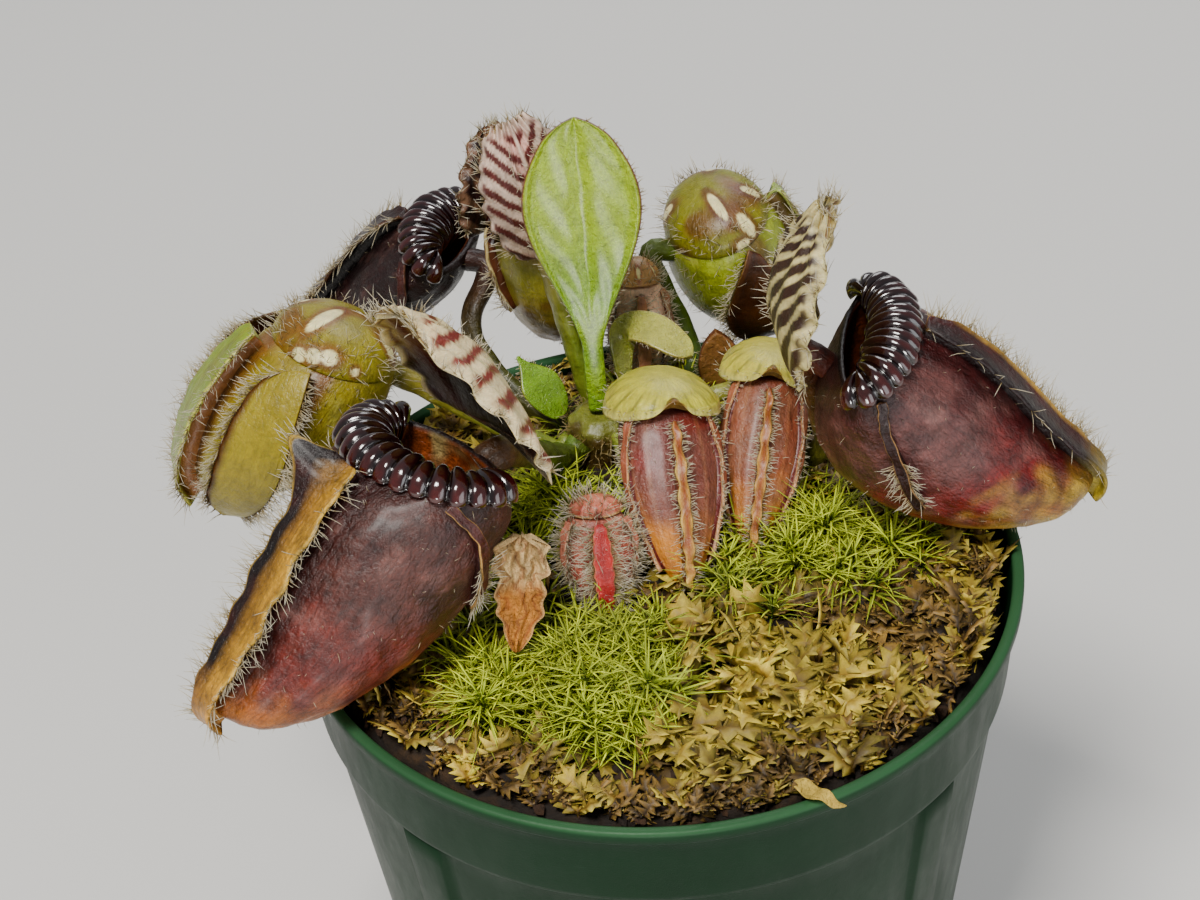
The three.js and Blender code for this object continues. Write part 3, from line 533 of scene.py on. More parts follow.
class Pitcher:
    """The frame and form of one pitcher: x to the lip, y across, z out of the mouth."""

    def __init__(self, spec, form):
        hinge, lip, toe = (np.array(spec[k], float) for k in ("hinge", "lip", "toe"))
        self.middle = (hinge + lip) / 2
        to_lip = unit(lip - hinge)
        to_toe = toe - self.middle
        across = unit(np.cross(to_lip, to_toe))
        out = np.cross(to_lip, across)
        self.axes = np.stack([to_lip, across, out])
        half = np.linalg.norm(lip - hinge) / 2
        self.depth = -to_toe @ out
        reach = to_toe @ to_lip
        self.half_width = spec["half_width"]
        self.front, self.back = [], []
        for share, front, back, width, widest in form:
            z = -self.depth * share
            front_x = lerp(half, reach, share) + front * self.half_width
            self.front.append((front_x, width * self.half_width, z))
            fall = back * self.half_width * lerp(spec.get("belly", 1), 1, share ** 6)
            self.back.append((lerp(-half, reach, share) - fall, widest, z))

    def flank(self, angle, t, inset=0.0):
        """Places at an angle from the keel and a share of the depth."""
        f, b = spline(self.front, t), spline(self.back, t)
        widest = lerp(b[..., 0], f[..., 0], b[..., 1])
        reach = np.where(np.cos(angle) > 0, f[..., 0] - widest, widest - b[..., 0])
        x = widest + np.maximum(reach - inset, 0) * np.cos(angle)
        y = np.maximum(f[..., 1] - inset, 0) * np.sin(angle)
        return stacked(x, y, f[..., 2])

    def normal(self, angle, t):
        step = 1e-3
        t = np.clip(t, 2 * step, 1 - 2 * step)
        along = self.flank(angle, t + step) - self.flank(angle, t - step)
        across = self.flank(angle + step, t) - self.flank(angle - step, t)
        return -unit(np.cross(across, along))

    def world(self, local):
        return self.middle + local @ self.axes

    def turn(self, local):
        return local @ self.axes


# Each pitcher's places are those of its solids; heights are above the pot's rim.
PITCHERS = {
    "pitcher_right": dict(
        hinge=(19.4, 5, 21.6), lip=(26.5, 4, 24.5), toe=(46.8, 1.2, 4.8), half_width=9.5,
        keel=dict(ruffle=0.05), wing=dict(start=74, end=100, stop=0.5),
        stalk=dict(angle=-20, height=1.4, via=[(8.4, 13.4, 1.4), (15, 12.6, 1.8), (18.6, 9.6, 6.4)]),
        lid=dict(start=(16.7, 4.6, 21.9), tip=(19.2, 5.6, 38.4), across=(-0.35, -0.93, 0),
                 half_width=10.6, turn=-9, dome=4.4, point=0.98)),
    "pitcher_front_left": dict(
        hinge=(-16.6, -2.5, 17.6), lip=(-26.8, -9.5, 22.7), toe=(-44.4, -24.3, 3.8), half_width=10,
        belly=0.82, keel=dict(flange=2.6, lobe=3.2), stalk=dict(angle=232, height=3.4, radius=1.5),
        lid=dict(start=(-14.6, -2.3, 18.5), tip=(-22.7, -5.5, 36.2), across=(-0.4, 0.916, 0),
                 half_width=11.6, turn=-13, dome=3.8, foot=0.25, point=0.96)),
    "pitcher_back_left": dict(
        hinge=(-18.6, 37.4, 14.4), lip=(-24.4, 39.6, 17.6), toe=(-40, 45.4, 0.6), half_width=7,
        belly=0.5, stalk=dict(angle=142, height=1.4, via=[(-15.4, 27.4, 3.2), (-19, 32.4, 7.6)]),
        lid=dict(start=(-16.8, 39.2, 16.2), tip=(-15.6, 42.4, 27.6), across=(0.45, 0.88, 0),
                 half_width=6, dome=1.2)),
    "pitcher_back": dict(
        hinge=(-9.4, 30.6, 18.6), lip=(-9.6, 37.6, 22), toe=(-9.6, 45, 2.6), half_width=5.8,
        belly=0.75, stalk=dict(angle=100, height=2.8),
        lid=dict(start=(-9, 29.4, 19.8), tip=(-12.6, 29.8, 36), across=(0.95, 0.3, 0.2),
                 half_width=5.6)),
    "young_pitcher_left": dict(
        hinge=(-26.8, 21, 12), lip=(-39, 19.5, 17.6), toe=(-49.4, 13.6, 2), half_width=9.4,
        keel=dict(flange=3.6, height=2.6, ruffle=0.05),
        wing=dict(flange=1.0, height=2.2, start=60, end=100, stop=0.82, broad=4.8, fullness=0.45),
        stalk=dict(angle=198, height=2.4), lid=dict(height=4.6, overhang=0.12, fold=0.02, gap=0.04)),
    "young_pitcher_back_right": dict(
        hinge=(4, 36.5, 14.6), lip=(14.5, 40, 18), toe=(16.6, 41, 1.8), half_width=7.6,
        keel=dict(flange=2.2, height=2.2),
        wing=dict(flange=0.8, height=1.8, start=80, end=104, stop=0.76, broad=6.4, fullness=0.8, bow=24),
        stalk=dict(angle=36, height=2.4, via=[(5, 27.6, 1.8), (5.4, 31.4, 4.4)]),
        lid=dict(height=4.4, overhang=0.12, fold=0.02, gap=0.04)),
    "small_pitcher_front": dict(
        hinge=(1, 13.4, 13), lip=(2.6, 5.8, 14.4), toe=(3.1, -7, 1.8), half_width=5.1,
        keel=dict(flange=0.56, height=1.55, stop=0.94, ruffle=0.2),
        wing=dict(flange=0.4, height=0.7, start=58, end=84, stop=0.8),
        stalk=dict(angle=-62, height=4, radius=0.9),
        lid=dict(height=2.3, overhang=1.35, fold=0.03, drape=1.2)),
    "small_pitcher_middle": dict(
        hinge=(13.6, 19.4, 11.4), lip=(13.2, 11.8, 13.2), toe=(9.8, -1.8, 0.8), half_width=4.1,
        keel=dict(flange=0.5, height=1.5, stop=0.94, ruffle=0.2),
        wing=dict(flange=0.4, height=0.7, start=57, end=85, stop=0.81),
        stalk=dict(angle=4, height=4.2, radius=0.9),
        lid=dict(height=2.1, overhang=1.35, fold=0.03, drape=1.2)),
    "young_pitcher_behind_leaf": dict(
        hinge=(-0.4, 33.2, 12.4), lip=(0.2, 28.4, 14.2), toe=(0, 25.2, 2), half_width=3.2,
        keel=dict(flange=0.8, height=1.4, stop=0.94),
        wing=dict(flange=0.5, height=0.6, start=60, end=84, stop=0.8),
        stalk=dict(angle=68, height=1.4, via=[(-1.8, 30, 3.4)], radius=0.9),
        lid=dict(height=2.8, overhang=0.1, fold=0.05)),
    "baby_pitcher": dict(
        hinge=(-6, 0, 8), lip=(-5.5, -3.6, 8.8), toe=(-5.3, -8.8, 1.4), half_width=3.4,
        keel=dict(flange=1.0, height=1.4, stop=0.92),
        wing=dict(flange=0.5, height=0.7, start=62, end=86, stop=0.82),
        stalk=dict(start=(-5.6, 4.6, -5), via=[(-5.6, 4.4, 1)], radius=0.83),
        lid=dict(height=1.6, overhang=0.06, fold=0.08)),
}

WHITE_HAIR = rgb(226, 222, 206)
HAIR_ROOT = rgb(186, 166, 116)
# The skin's lay runs this many times the depth along a pitcher.
LAY_ALONG = 1.4


def hairs(build, roots, heads, length, seed, width=0.048, spread=0.35, root=HAIR_ROOT, tip=WHITE_HAIR):
    """Hairs that stand along the given directions, a little tangled, each with its own bend."""
    random = np.random.default_rng(seed)
    n = len(roots)
    heads = unit(unit(heads) + random.normal(0, spread, (n, 3)))
    bends = random.normal(0, 0.16, (n, 3)) + (0, 0, -0.06)
    lengths = length * random.uniform(0.55, 1.25, n)
    build.spikes(roots, heads, random.normal(0, 1, (n, 3)), lengths, width, bends, root, tip)


def skin_rows(pitcher, angles, ts, rise):
    """Rows of a flank, pushed out by rise(angle, t, places), with their lay."""
    a, t = np.meshgrid(angles, ts)
    local = pitcher.flank(a, t)
    push = rise(a, t, local)
    local = local + pitcher.normal(a, t) * (push * smooth(1 - t, 0, 0.03))[..., None]
    return local, stacked(a * pitcher.half_width, t * pitcher.depth * LAY_ALONG, 0), a, t


def strip(build, pitcher, section, place, steps, tint):
    """A ridge over the flank: section(t) gives its outline and place(t) the angle and depth."""
    t = np.linspace(0, 1, steps)
    angle, depth = place(t)
    out = pitcher.normal(angle, depth)
    head = pitcher.flank(*place(t + 0.01)) - pitcher.flank(*place(t - 0.01))
    side = unit(np.cross(out, head))
    outline = section(t)
    base = pitcher.flank(angle, depth)
    rows = base[:, None] + side[:, None] * outline[..., :1] + out[:, None] * outline[..., 1:2]
    lay = stacked(outline[..., 0], (depth * pitcher.depth * LAY_ALONG)[:, None], 0)
    build.loft(pitcher.world(rows), tint(t, outline), lay,
               poles=[pitcher.world(base[k] + out[k] * 0.1) for k in (0, -1)])
    return base, side, out, outline


# One side of a flared ridge: shares of the reach, the plate's thickness and the edge's lift.
FLARED_SIDE = ((0.5, 1, 0.35), (0.92, 1, 1), (1.03, 0.62, 1), (0.95, 0.25, 1), (0.84, 0.12, 0.9))


def flared(height, left, right, root=0.45, plate=0.55, droop=0.25, lift=0.0, ruffle=0.0, waves=7.0,
           seed=0.0, right_lift=None):
    """The T-shaped outline of a keel or wing, for each t, with ruffled edges."""
    def ruffles(t, count, shift):
        return ruffle * np.sin(2 * math.pi * count * t + seed + shift)

    def section(t):
        h = height(t)
        wave = ruffle * 0.9 * np.sin(2 * math.pi * (waves * 0.8) * t + seed + 1)
        rise = lift - droop + wave
        other_rise = lift - droop - wave + (0 if right_lift is None else right_lift(t))
        z = np.zeros_like(t)
        sides = []
        for reach, up, sign in ((left(t) * (1 + ruffles(t, waves, 0)), rise, 1),
                                (right(t) * (1 + ruffles(t, waves + 1.3, 2)), other_rise, -1)):
            sides.append([(sign * out * reach, h - plate * thick + share * up)
                          for out, thick, share in FLARED_SIDE])
            sides[-1].append((sign * 0.5 * reach, h - 0.05 + 0.4 * up))
        points = [(z - root * 1.3, z - 0.6), (z + root * 1.3, z - 0.6), (z + root, 0.35 * h),
                  (z + root * 0.9, h - plate)]
        points += sides[0] + [(z, h + z)] + sides[1][::-1]
        points += [(z - root * 0.9, h - plate), (z - root, 0.35 * h)]
        return np.stack([stacked(x, y) for x, y in points], 1)
    return section


# How much of the underside's, the edge's and the stem's colour each point of the outline takes.
FLARED_UNDER = np.array([1, 1, 1, 1, 1, 0.7, 0, 0, 0, 0, 0, 0, 0, 0, 0, 0.7, 1, 1, 1])
FLARED_EDGE = np.array([0, 0, 0, 0, 0, 0.5, 1, 0.8, 0, 0, 0, 0, 0, 0.8, 1, 0.5, 0, 0, 0])
FLARED_STEM = np.array([1, 1, 1, 0.8, 0, 0, 0, 0, 0, 0, 0, 0, 0, 0, 0, 0, 0, 0.8, 1])
# The outline's points at the two edges, where hairs stand.
FLARED_CORNERS = (6, 14)


def flared_tint(top, under, edge, along=None, other=None, stem=None):
    """Tints of a flared ridge by its outline: top, its other half, underside and edge."""
    def tint(t, outline):
        x = outline[..., 0]
        colour = fill(top, x)
        if other is not None:
            colour = blend(colour, other, smooth(-x, -0.1, 0.3))
        colour = coats(colour, (under, FLARED_UNDER), (under if stem is None else stem, FLARED_STEM),
                       (edge, FLARED_EDGE))
        if along is not None:
            colour = along(colour, np.broadcast_to(t[:, None], x.shape), outline)
        return colour
    return tint


def edge_hairs(build, pitcher, ridge, per_mm, length, seed, span=(0.0, 1.0), sparse=(1.0, 1.0)):
    """Hairs along both edges of a flared ridge; each edge can be sparser."""
    base, side, out, outline = ridge
    random = np.random.default_rng(seed)
    run = run_along(base)
    for corner, sign, share in zip(FLARED_CORNERS, (1, -1), sparse):
        n = max(int(run[-1] * per_mm * share), 2)
        at = random.uniform(span[0], span[1], n) * run[-1]
        edge = base + side * outline[:, corner, :1] + out * outline[:, corner, 1:2]
        edge, across, up = (sample(values, run, at) for values in (edge, side, out))
        roots = edge - across * sign * 0.06
        heads = across * sign + up * 0.5
        hairs(build, pitcher.world(roots), pitcher.turn(heads), length, seed + corner)


def keel(build, pitcher, tint, seed, flange=2.4, height=1.7, stop=0.86, lift=0.5, ruffle=0.1, lobe=0.0):
    """The front keel; a lobe raises one flange by the mouth."""
    def wide(t):
        return flange * (0.42 + 0.58 * np.sin(math.pi * t ** 0.8 * 0.94))

    def swell(t):
        return lobe * bell(t - 0.1, 0.09)

    outline = flared(lambda t: height * (0.85 + 0.15 * np.sin(math.pi * t)), wide,
                     lambda t: wide(t) + 0.9 * swell(t), lift=lift, ruffle=ruffle, seed=seed,
                     right_lift=swell)
    return strip(build, pitcher, outline, lambda t: (0 * t, lerp(0.08, stop, t)), 96, tint)


def wing(build, pitcher, side, tint, flange=0.5, height=1.25, start=62, end=128, stop=0.44, broad=0.0,
         fullness=0.7, bow=0.0):
    """A side wing; a broad one swells towards the keel as a rounded lobe, and may bow from it."""
    def plain_edge(t):
        return flange + 0 * t

    def swollen(t):
        return flange + broad * np.sin(math.pi * t) ** fullness

    def fall(t):
        return -0.42 * (swollen(t) - flange)

    def place(t):
        return side * np.radians(lerp(start, end, t) + bow * np.sin(math.pi * t)), lerp(0.07, stop, t)

    edges = (plain_edge, swollen) if side > 0 else (swollen, plain_edge)
    outline = flared(lambda t: height * (0.7 + 0.3 * np.sin(math.pi * t)), *edges, root=0.32, plate=0.42,
                     droop=0.1, lift=0.2, ruffle=0.1 / (1 + 2 * broad), waves=5, seed=start,
                     right_lift=fall if side > 0 else None)
    return strip(build, pitcher, outline, place, 64, tint)


def stalk(build, pitcher, tint, angle=0, height=2.0, start=None, via=(), radius=1.2):
    """The stalk from the crown, or from the soil, to just under the hinge."""
    if start is None:
        outward = np.array([math.cos(math.radians(angle)), math.sin(math.radians(angle)), 0])
        socket = CROWN + (0, 0, height) + outward * (CROWN_RADIUS + GAP + 0.1)
        places = [socket - outward * 0.5, socket + outward * 2.2]
    else:
        places = [start]
    join = pitcher.flank(math.pi, 0.12, 0.6)
    before = join + pitcher.normal(math.pi, 0.12) * 3
    path = even([*places, *via, pitcher.world(before), pitcher.world(join)], 60)
    sides, others = carry_frame(path, np.array([0.0, 0.3, 1.0]))
    t = np.linspace(0, 1, 60)[:, None]
    turn = turns(24)[None]
    wide = radius * lerp(1, 1.2, t * t) * (1 + 0.06 * np.sin(3 * turn + 4 * t) + 0.05 * np.sin(40 * t + turn))
    rows = path[:, None] + sides[:, None] * (wide * np.cos(turn))[..., None] + others[:, None] * (
        wide * 0.86 * np.sin(turn))[..., None]
    colour = tint(np.broadcast_to(t, wide.shape), np.broadcast_to(turn, wide.shape))
    build.loft(rows, colour, stacked(turn * radius, t * 20, 0))


def cup(build, pitcher, tint, rise):
    """An open pitcher: outer flank, rounded lip and inner flank in one closed skin."""
    angles = turns(128)
    local, lay, a, t = skin_rows(pitcher, angles, 1 - np.linspace(0.012, 1, 76), rise)
    down = np.linspace(0, 1, 30)[1:]
    ia, it = np.meshgrid(angles, 0.84 * down)
    rounding = np.sqrt(np.maximum(1 - np.broadcast_to(down[:, None], ia.shape) ** 6, 0))
    heart = pitcher.flank(ia, it, TO_HEART)
    inner = lerp(heart, pitcher.flank(ia, it, CUP_WALL), rounding[..., None])
    lip = []
    for share in (0.2, 0.5, 0.8):
        row = pitcher.flank(angles, 0 * angles, CUP_WALL * share)
        row[:, 2] += 0.3 * math.sin(math.pi * share)
        lip.append(row)
    by_hinge = -np.cos(ia)
    # Inside, the cup is near-black maroon, with orange-brown on the upper wall by the hinge: partly the
    # wall's own colour, partly painted light and shade.
    inside = coats(
        fill(rgb(48, 14, 14), ia),
        (rgb(150, 84, 38), smooth(by_hinge, -0.1, 0.7) * smooth(0.62 - it, 0, 0.4) * 0.85),
        (rgb(176, 156, 108),
         smooth(by_hinge, 0.2, 0.6) * smooth(0.26 - it, 0, 0.1) * mottled(inner, 2.4, 5, 0.0, 0.3)))
    edge = np.broadcast_to(rgb(40, 12, 12), np.shape(lip))
    far = stacked(ia * pitcher.half_width, it * pitcher.depth, 0)
    poles = [pitcher.flank(0.0, 1.0, TO_HEART), heart[-1].mean(0)]
    build.loft(pitcher.world(np.concatenate([local, lip, inner])),
               np.concatenate([tint(a, t, local), edge, inside]),
               np.concatenate([lay, lip, far]), poles=[pitcher.world(p) for p in poles])


def bulb(build, pitcher, tint, rise):
    """A closed young pitcher."""
    local, lay, a, t = skin_rows(pitcher, turns(112), np.linspace(0, 0.988, 64), rise)
    build.loft(pitcher.world(local), tint(a, t, local), lay,
               poles=[pitcher.world(pitcher.flank(0.0, end, TO_HEART)) for end in (0.0, 1.0)])


def mouth_ring(build, pitcher, ribs):
    """The glossy hoops over the rim: ribs that arch inward and end in teeth."""
    start = math.radians(62)
    fine = math.pi + start + (2 * math.pi - 2 * start) * np.linspace(0, 1, 800)
    run = run_along(pitcher.flank(fine, 0 * fine, CUP_WALL / 2))
    columns = ribs * 14 + 1
    share = np.linspace(0, 1, columns)
    at = np.interp(np.linspace(0, run[-1], columns), run, fine)
    heart = pitcher.flank(at, 0 * at, CUP_WALL / 2)
    along = unit(np.gradient(heart, axis=0))
    out = unit(np.cross(along, np.array([0, 0, 1.0])))
    out = unit(out + 0.7 * unit(ring(1, at, 0)))
    phase = share * ribs
    rib = np.floor(np.minimum(phase, ribs - 1e-6))
    q = 2 * (phase - rib) - 1
    hump = np.sqrt(np.maximum(1 - (q / 0.9) ** 2, 0))[:, None]
    vary = 1 + 0.08 * np.sin(rib * 12.9898) + 0.05 * np.sin(rib * 4.1)
    large = ((0.72 + 0.28 * np.sin(math.pi * share)) * vary)[:, None]
    u = np.linspace(0, 1, 26)[None]
    low = math.radians(-16)
    theta = low + (np.radians(186 + 62 * hump ** 1.5) - low) * u

    def curve(theta, offset):
        a, b = 2.55 * large, 2.35 * large
        drop = np.where(theta > math.pi, 1.5, 1.0)
        nx, nz = np.cos(theta) * b, np.sin(theta) * a
        size = np.hypot(nx, nz)
        outer = 0.45 * hump * smooth(0.35 - theta, 0, 0.6)
        x = -0.85 * large + (a - 0.3) * np.cos(theta) + offset * nx / size + outer
        z = GAP + 0.05 + (b - 0.55) * np.sin(theta) * drop + offset * nz / size - 0.6 * outer
        return x, z

    closing = np.sqrt(np.maximum(1 - np.abs(2 * u - 1) ** 5, 0))
    x1, z1 = curve(theta, (0.1 + 0.62 * hump) * closing)
    x2, z2 = curve(theta[:, ::-1], -0.22 * closing)
    x, z = np.concatenate([x1, x2], 1), np.concatenate([z1, z2], 1)
    rows = heart[:, None] + out[:, None] * x[..., None]
    rows[..., 2] += z
    shade = np.concatenate([np.broadcast_to(u, x1.shape), np.broadcast_to(u[:, ::-1], x1.shape)], 1)
    tint = coats(fill(rgb(44, 14, 16), x),
                 (rgb(96, 36, 32), 0.6 * smooth(hump, 0.6, 1) * smooth(shade, 0.45, 0.0)),
                 # Near-black where the hoops dip into the gaps between them: painted shade.
                 (rgb(20, 5, 8), (1 - smooth(hump, 0.1, 0.6))))
    build.loft(pitcher.world(rows), tint, stacked((q * 0.8)[:, None], shade * 8, 0))


LID_PLEATS = 7
LID_HALF = 0.42


def raised_lid(build, start, tip, across, half_width, outer, inner, dome=3.0, turn=0.0, foot=0.17,
               point=0.93):
    """An open lid: a scalloped, domed fan with pleats along it. Returns its surface and axes."""
    turn = math.radians(turn)
    start, tip = np.array(start, float), np.array(tip, float)
    length = np.linalg.norm(tip - start)
    x_axis = unit(tip - start)
    z_axis = unit(np.cross(across, x_axis))
    z_axis = z_axis * math.cos(turn) + np.cross(z_axis, x_axis) * math.sin(turn)
    y_axis = np.cross(z_axis, x_axis)
    t = np.linspace(0, 1, 64)[:, None]
    half = np.linspace(-1, 1, 72)
    x = np.concatenate([half, half[::-1][1:-1]])[None]
    on_top = (np.arange(x.size) < half.size)[None]

    def surface(x, t):
        outline = np.sin(math.pi * lerp(foot, point, t ** 0.92)) ** 0.62
        wave = np.cos(math.pi * LID_PLEATS * x)
        scallop = 0.045 * np.cos(math.pi * (LID_PLEATS + 6) * t) * smooth(np.abs(x), 0.7, 1)
        wide = half_width * outline * (1 + 0.02 * wave + scallop)
        lift = dome * (1 - x * x) * np.sin(math.pi * lerp(0.12, 0.9, t)) + 0.24 * wave * t
        ruffle = 0.35 * np.sin(2 * math.pi * 4.5 * t + 5 * x) * smooth(np.abs(x), 0.75, 1.0)
        reach = t * length + 0.55 * wave * smooth(t, 0.9, 1.0) * (1 - 0.4 * x * x)
        return reach, x * wide, lift + ruffle

    def place(reach, wide, lift):
        return start + reach[..., None] * x_axis + wide[..., None] * y_axis + lift[..., None] * z_axis

    reach, wide, lift = surface(x, t)
    thin_ends = np.sqrt(np.maximum(1 - np.abs(2 * t - 1) ** 16, 0.02))
    rim = np.sqrt(np.maximum(1 - np.abs(x) ** 8, 0.0)) * thin_ends
    lift = lift + np.where(on_top, LID_HALF, -LID_HALF) * rim
    ridge = bell(np.abs(x) - 0.28 * smooth(t, 0.1, 0.8), 0.05)
    ridge = ridge * smooth(t, 0.02, 0.15) * smooth(1 - t, 0.05, 0.3)
    lift = lift + np.where(on_top, 0.5, 0.0) * ridge
    xx, tt = np.broadcast_arrays(x, t)
    flat = stacked(wide, reach, 0)
    colour = np.where(on_top[..., None], outer(xx, tt, flat), inner(xx, tt, flat))
    build.loft(place(reach, wide, lift), colour, flat)

    def at(x, t, side=1):
        reach, wide, lift = surface(x, t)
        return place(reach, wide, lift + LID_HALF * side * np.sqrt(np.maximum(1 - np.abs(x) ** 8, 0)))
    return at, (x_axis, y_axis, z_axis)


def striped(cream, dark, pitch=2.3, slope=0.9, cover=0.5, seed=1, red=None):
    """Outer side of a lid: dark veins that climb outward with pale windows between."""
    edge = math.cos(math.pi * cover)

    def tint(x, t, flat):
        wobble = 0.22 * noise(flat, 5.0, seed) + 0.06 * noise(flat, 1.2, seed + 1)
        phase = (flat[..., 1] - slope * (0.75 + 0.6 * t) * np.abs(flat[..., 0])) / pitch + wobble
        band = smooth(np.cos(2 * math.pi * phase), edge - 0.22, edge + 0.22)
        side = smooth(np.abs(x), 0.03, 0.08) * (1 - smooth(np.abs(x), 0.9, 0.97)) * smooth(1 - t, 0.02, 0.08)
        colour = blend(fill(cream, x), cream * 0.55, 0.5 * mottled(flat, 2.0, seed + 2, 0.0, 0.8))
        if red is not None:
            colour = blend(colour, red, 0.6 * mottled(flat, 3.0, seed + 3, -0.2, 0.6) * side)
        return coats(colour, (dark, band * side * 0.97), (dark, bell(x, 0.05) * 0.6 * (1 - t)))
    return tint


def inner_lid(pale, streak, seed=3, foot=None):
    """Inner side of a lid, with dark veins and, where it is given, a darker foot: partly the lid's own
    colour, partly painted shade by the mouth.
    """
    def tint(x, t, flat):
        veins = smooth(np.cos(2 * math.pi * (x * 4.5 + 0.2 * noise(flat, 1.5, seed))), 0.55, 0.95)
        colour = blend(fill(pale, x), streak, veins * 0.75 * smooth(t, 0.02, 0.2))
        if foot is not None:
            colour = coats(colour, (foot, 1 - smooth(t + 0.06 * noise(flat, 2.0, seed), 0.3, 0.62)),
                           (streak, 0.9 * bell(np.abs(x) - 0.72, 0.12)))
        return blend(colour, rgb(206, 190, 140), smooth(np.abs(x), 0.9, 0.98))
    return tint


def lid_hairs(build, at, axes, seed, length, rim=150, top=70):
    """Hairs round an open lid's rim and along its two ridges."""
    x_axis, y_axis, z_axis = axes
    random = np.random.default_rng(seed)
    t = random.uniform(0.06, 0.99, rim)
    sign = coin(random, rim)
    heads = sign[:, None] * y_axis * (1.1 - t[:, None]) + x_axis * (0.25 + t[:, None]) + 0.25 * z_axis
    hairs(build, at(sign * 0.985, t, 0), heads, length, seed)
    x = random.uniform(-1, 1, rim // 3)
    hairs(build, at(x, np.full(rim // 3, 0.995), 0), x_axis + 0.4 * x[:, None] * y_axis, length, seed + 1)
    t = random.uniform(0.15, 0.9, top)
    x = coin(random, top) * 0.28 * smooth(t, 0.1, 0.8)
    heads = z_axis + 0.4 * x_axis + np.sign(x)[:, None] * 0.3 * y_axis
    hairs(build, at(x, t), heads, length * 0.8, seed + 2)


def dome_places(pitcher, angle, share, height, overhang=0.6, drape=0.0, wall=0.0, gap=GAP):
    """Places on a closed lid; a draped one hangs lower at its sides, with a notch in front."""
    rim = pitcher.flank(angle, 0 * angle, wall - overhang)
    heart = pitcher.flank(angle, 0 * angle, TO_HEART)
    local = lerp(heart, rim, np.sin(share * math.pi / 2)[..., None])
    fall = -1.5 * np.sin(angle) ** 2 * share ** 3 + 1.5 * bell(wrapped(angle), 0.24) * share ** 5
    local[..., 1] *= 1 + 0.12 * drape * share ** 2
    rise = height * np.cos(share * math.pi / 2) - wall
    roll = 0.32 * bell(share - 0.9, 0.07)
    local[..., 2] += gap + np.maximum(rise, 0) + drape * (fall + roll)
    return local


def closed_lid(build, pitcher, tint, height, fold=0.1, **shape):
    """The domed lid of a pitcher that is still shut, with its shallow inside."""
    outer = np.linspace(0.02, 1, 44)
    a, share = np.meshgrid(turns(144), outer)
    top = dome_places(pitcher, a, share, height, **shape)
    pleat = fold * np.cos(9 * a) * smooth(share, 0.2, 0.7)
    top = top + ring(1, a, 0.8) * pleat[..., None]
    b, low = np.meshgrid(turns(144), outer[::-1][::3])
    under = dome_places(pitcher, b, low, height, wall=0.9, **shape)
    tints = np.concatenate([tint(a, share, top), np.broadcast_to(rgb(130, 104, 50), under.shape)])
    lay = np.concatenate([stacked(k * pitcher.half_width, v * pitcher.half_width, 0)
                          for k, v in ((a, share), (b, low))])
    build.loft(pitcher.world(np.concatenate([top, under])), tints, lay)


def flank_hairs(build, pitcher, count, length, seed, width):
    random = np.random.default_rng(seed)
    angle = random.uniform(0, 2 * math.pi, count)
    t = random.uniform(0.05, 0.95, count)
    normal = pitcher.normal(angle, t)
    roots = pitcher.flank(angle, t) - normal * 0.05
    heads = normal + (0.15, 0, 0.25)
    hairs(build, pitcher.world(roots), pitcher.turn(heads), length, seed + 9, width, 0.5)


def dome_hairs(build, pitcher, height, count, length, seed, low, **shape):
    """Hairs on a closed lid, out from the given share of its radius."""
    random = np.random.default_rng(seed)
    angle = random.uniform(0, 2 * math.pi, count)
    share = np.sqrt(random.uniform(low ** 2, 1, count))
    local = dome_places(pitcher, angle, share, height, **shape)
    normal = ring(share, angle, 1.1 - share * 0.7)
    hairs(build, pitcher.world(local), pitcher.turn(normal), length, seed + 3)


def folds(strength, seed):
    """Low lengthwise folds and dents of a flank."""
    def rise(a, t, local):
        long = 0.5 * np.sin(13 * a + 2.2 * noise(local, 7, seed))
        long = long * smooth(t, 0.05, 0.25) * smooth(1 - t, 0.05, 0.3)
        dents = noise(local, 3.4, seed + 1) + 0.5 * noise(local, 1.5, seed + 2)
        return strength * (long * 0.35 + dents * 0.5)
    return rise


def keel_tint(top, under, edge, brown, seed, tail=None, other=None, stain=0.5, stem=None, rim=None):
    """Colours of a keel; a rim starts that far from the middle, on the side away from other."""
    def along(colour, t, outline):
        x, z = outline[..., 0], outline[..., 1]
        if rim is not None:
            colour = coats(colour, (edge, smooth(x, rim, rim + 0.5)), (under, smooth(-x, 0.5, 1.2)))
        places = np.stack([x + 9 * t, z, 20 * t], -1)
        centre = bell(x, 0.45) * (z > 0.4)
        colour = blend(colour, brown, 1.2 * stain * centre * (1 - smooth(t, 0.6, 0.95)))
        if tail is not None:
            colour = blend(colour, tail, smooth(t, 0.72, 0.97) * 0.85)
        return blend(colour, brown, stain * mottled(places, 1.6, seed, 0.0, 0.7) * (1 - smooth(t, 0.7, 1)))
    return flared_tint(top, under, edge, along, other, stem)


def stalk_tint(near, far):
    def tint(t, turn):
        colour = blend(fill(near, t), far, smooth(t, 0.3, 0.95))
        # One side of the stalk takes a darker copy of its colour: painted shade.
        return blend(colour, far * 0.6, 0.4 * smooth(-np.sin(turn), 0.2, 1.0))
    return tint


# ---- Mature pitchers ----------------------------------------------------------------------

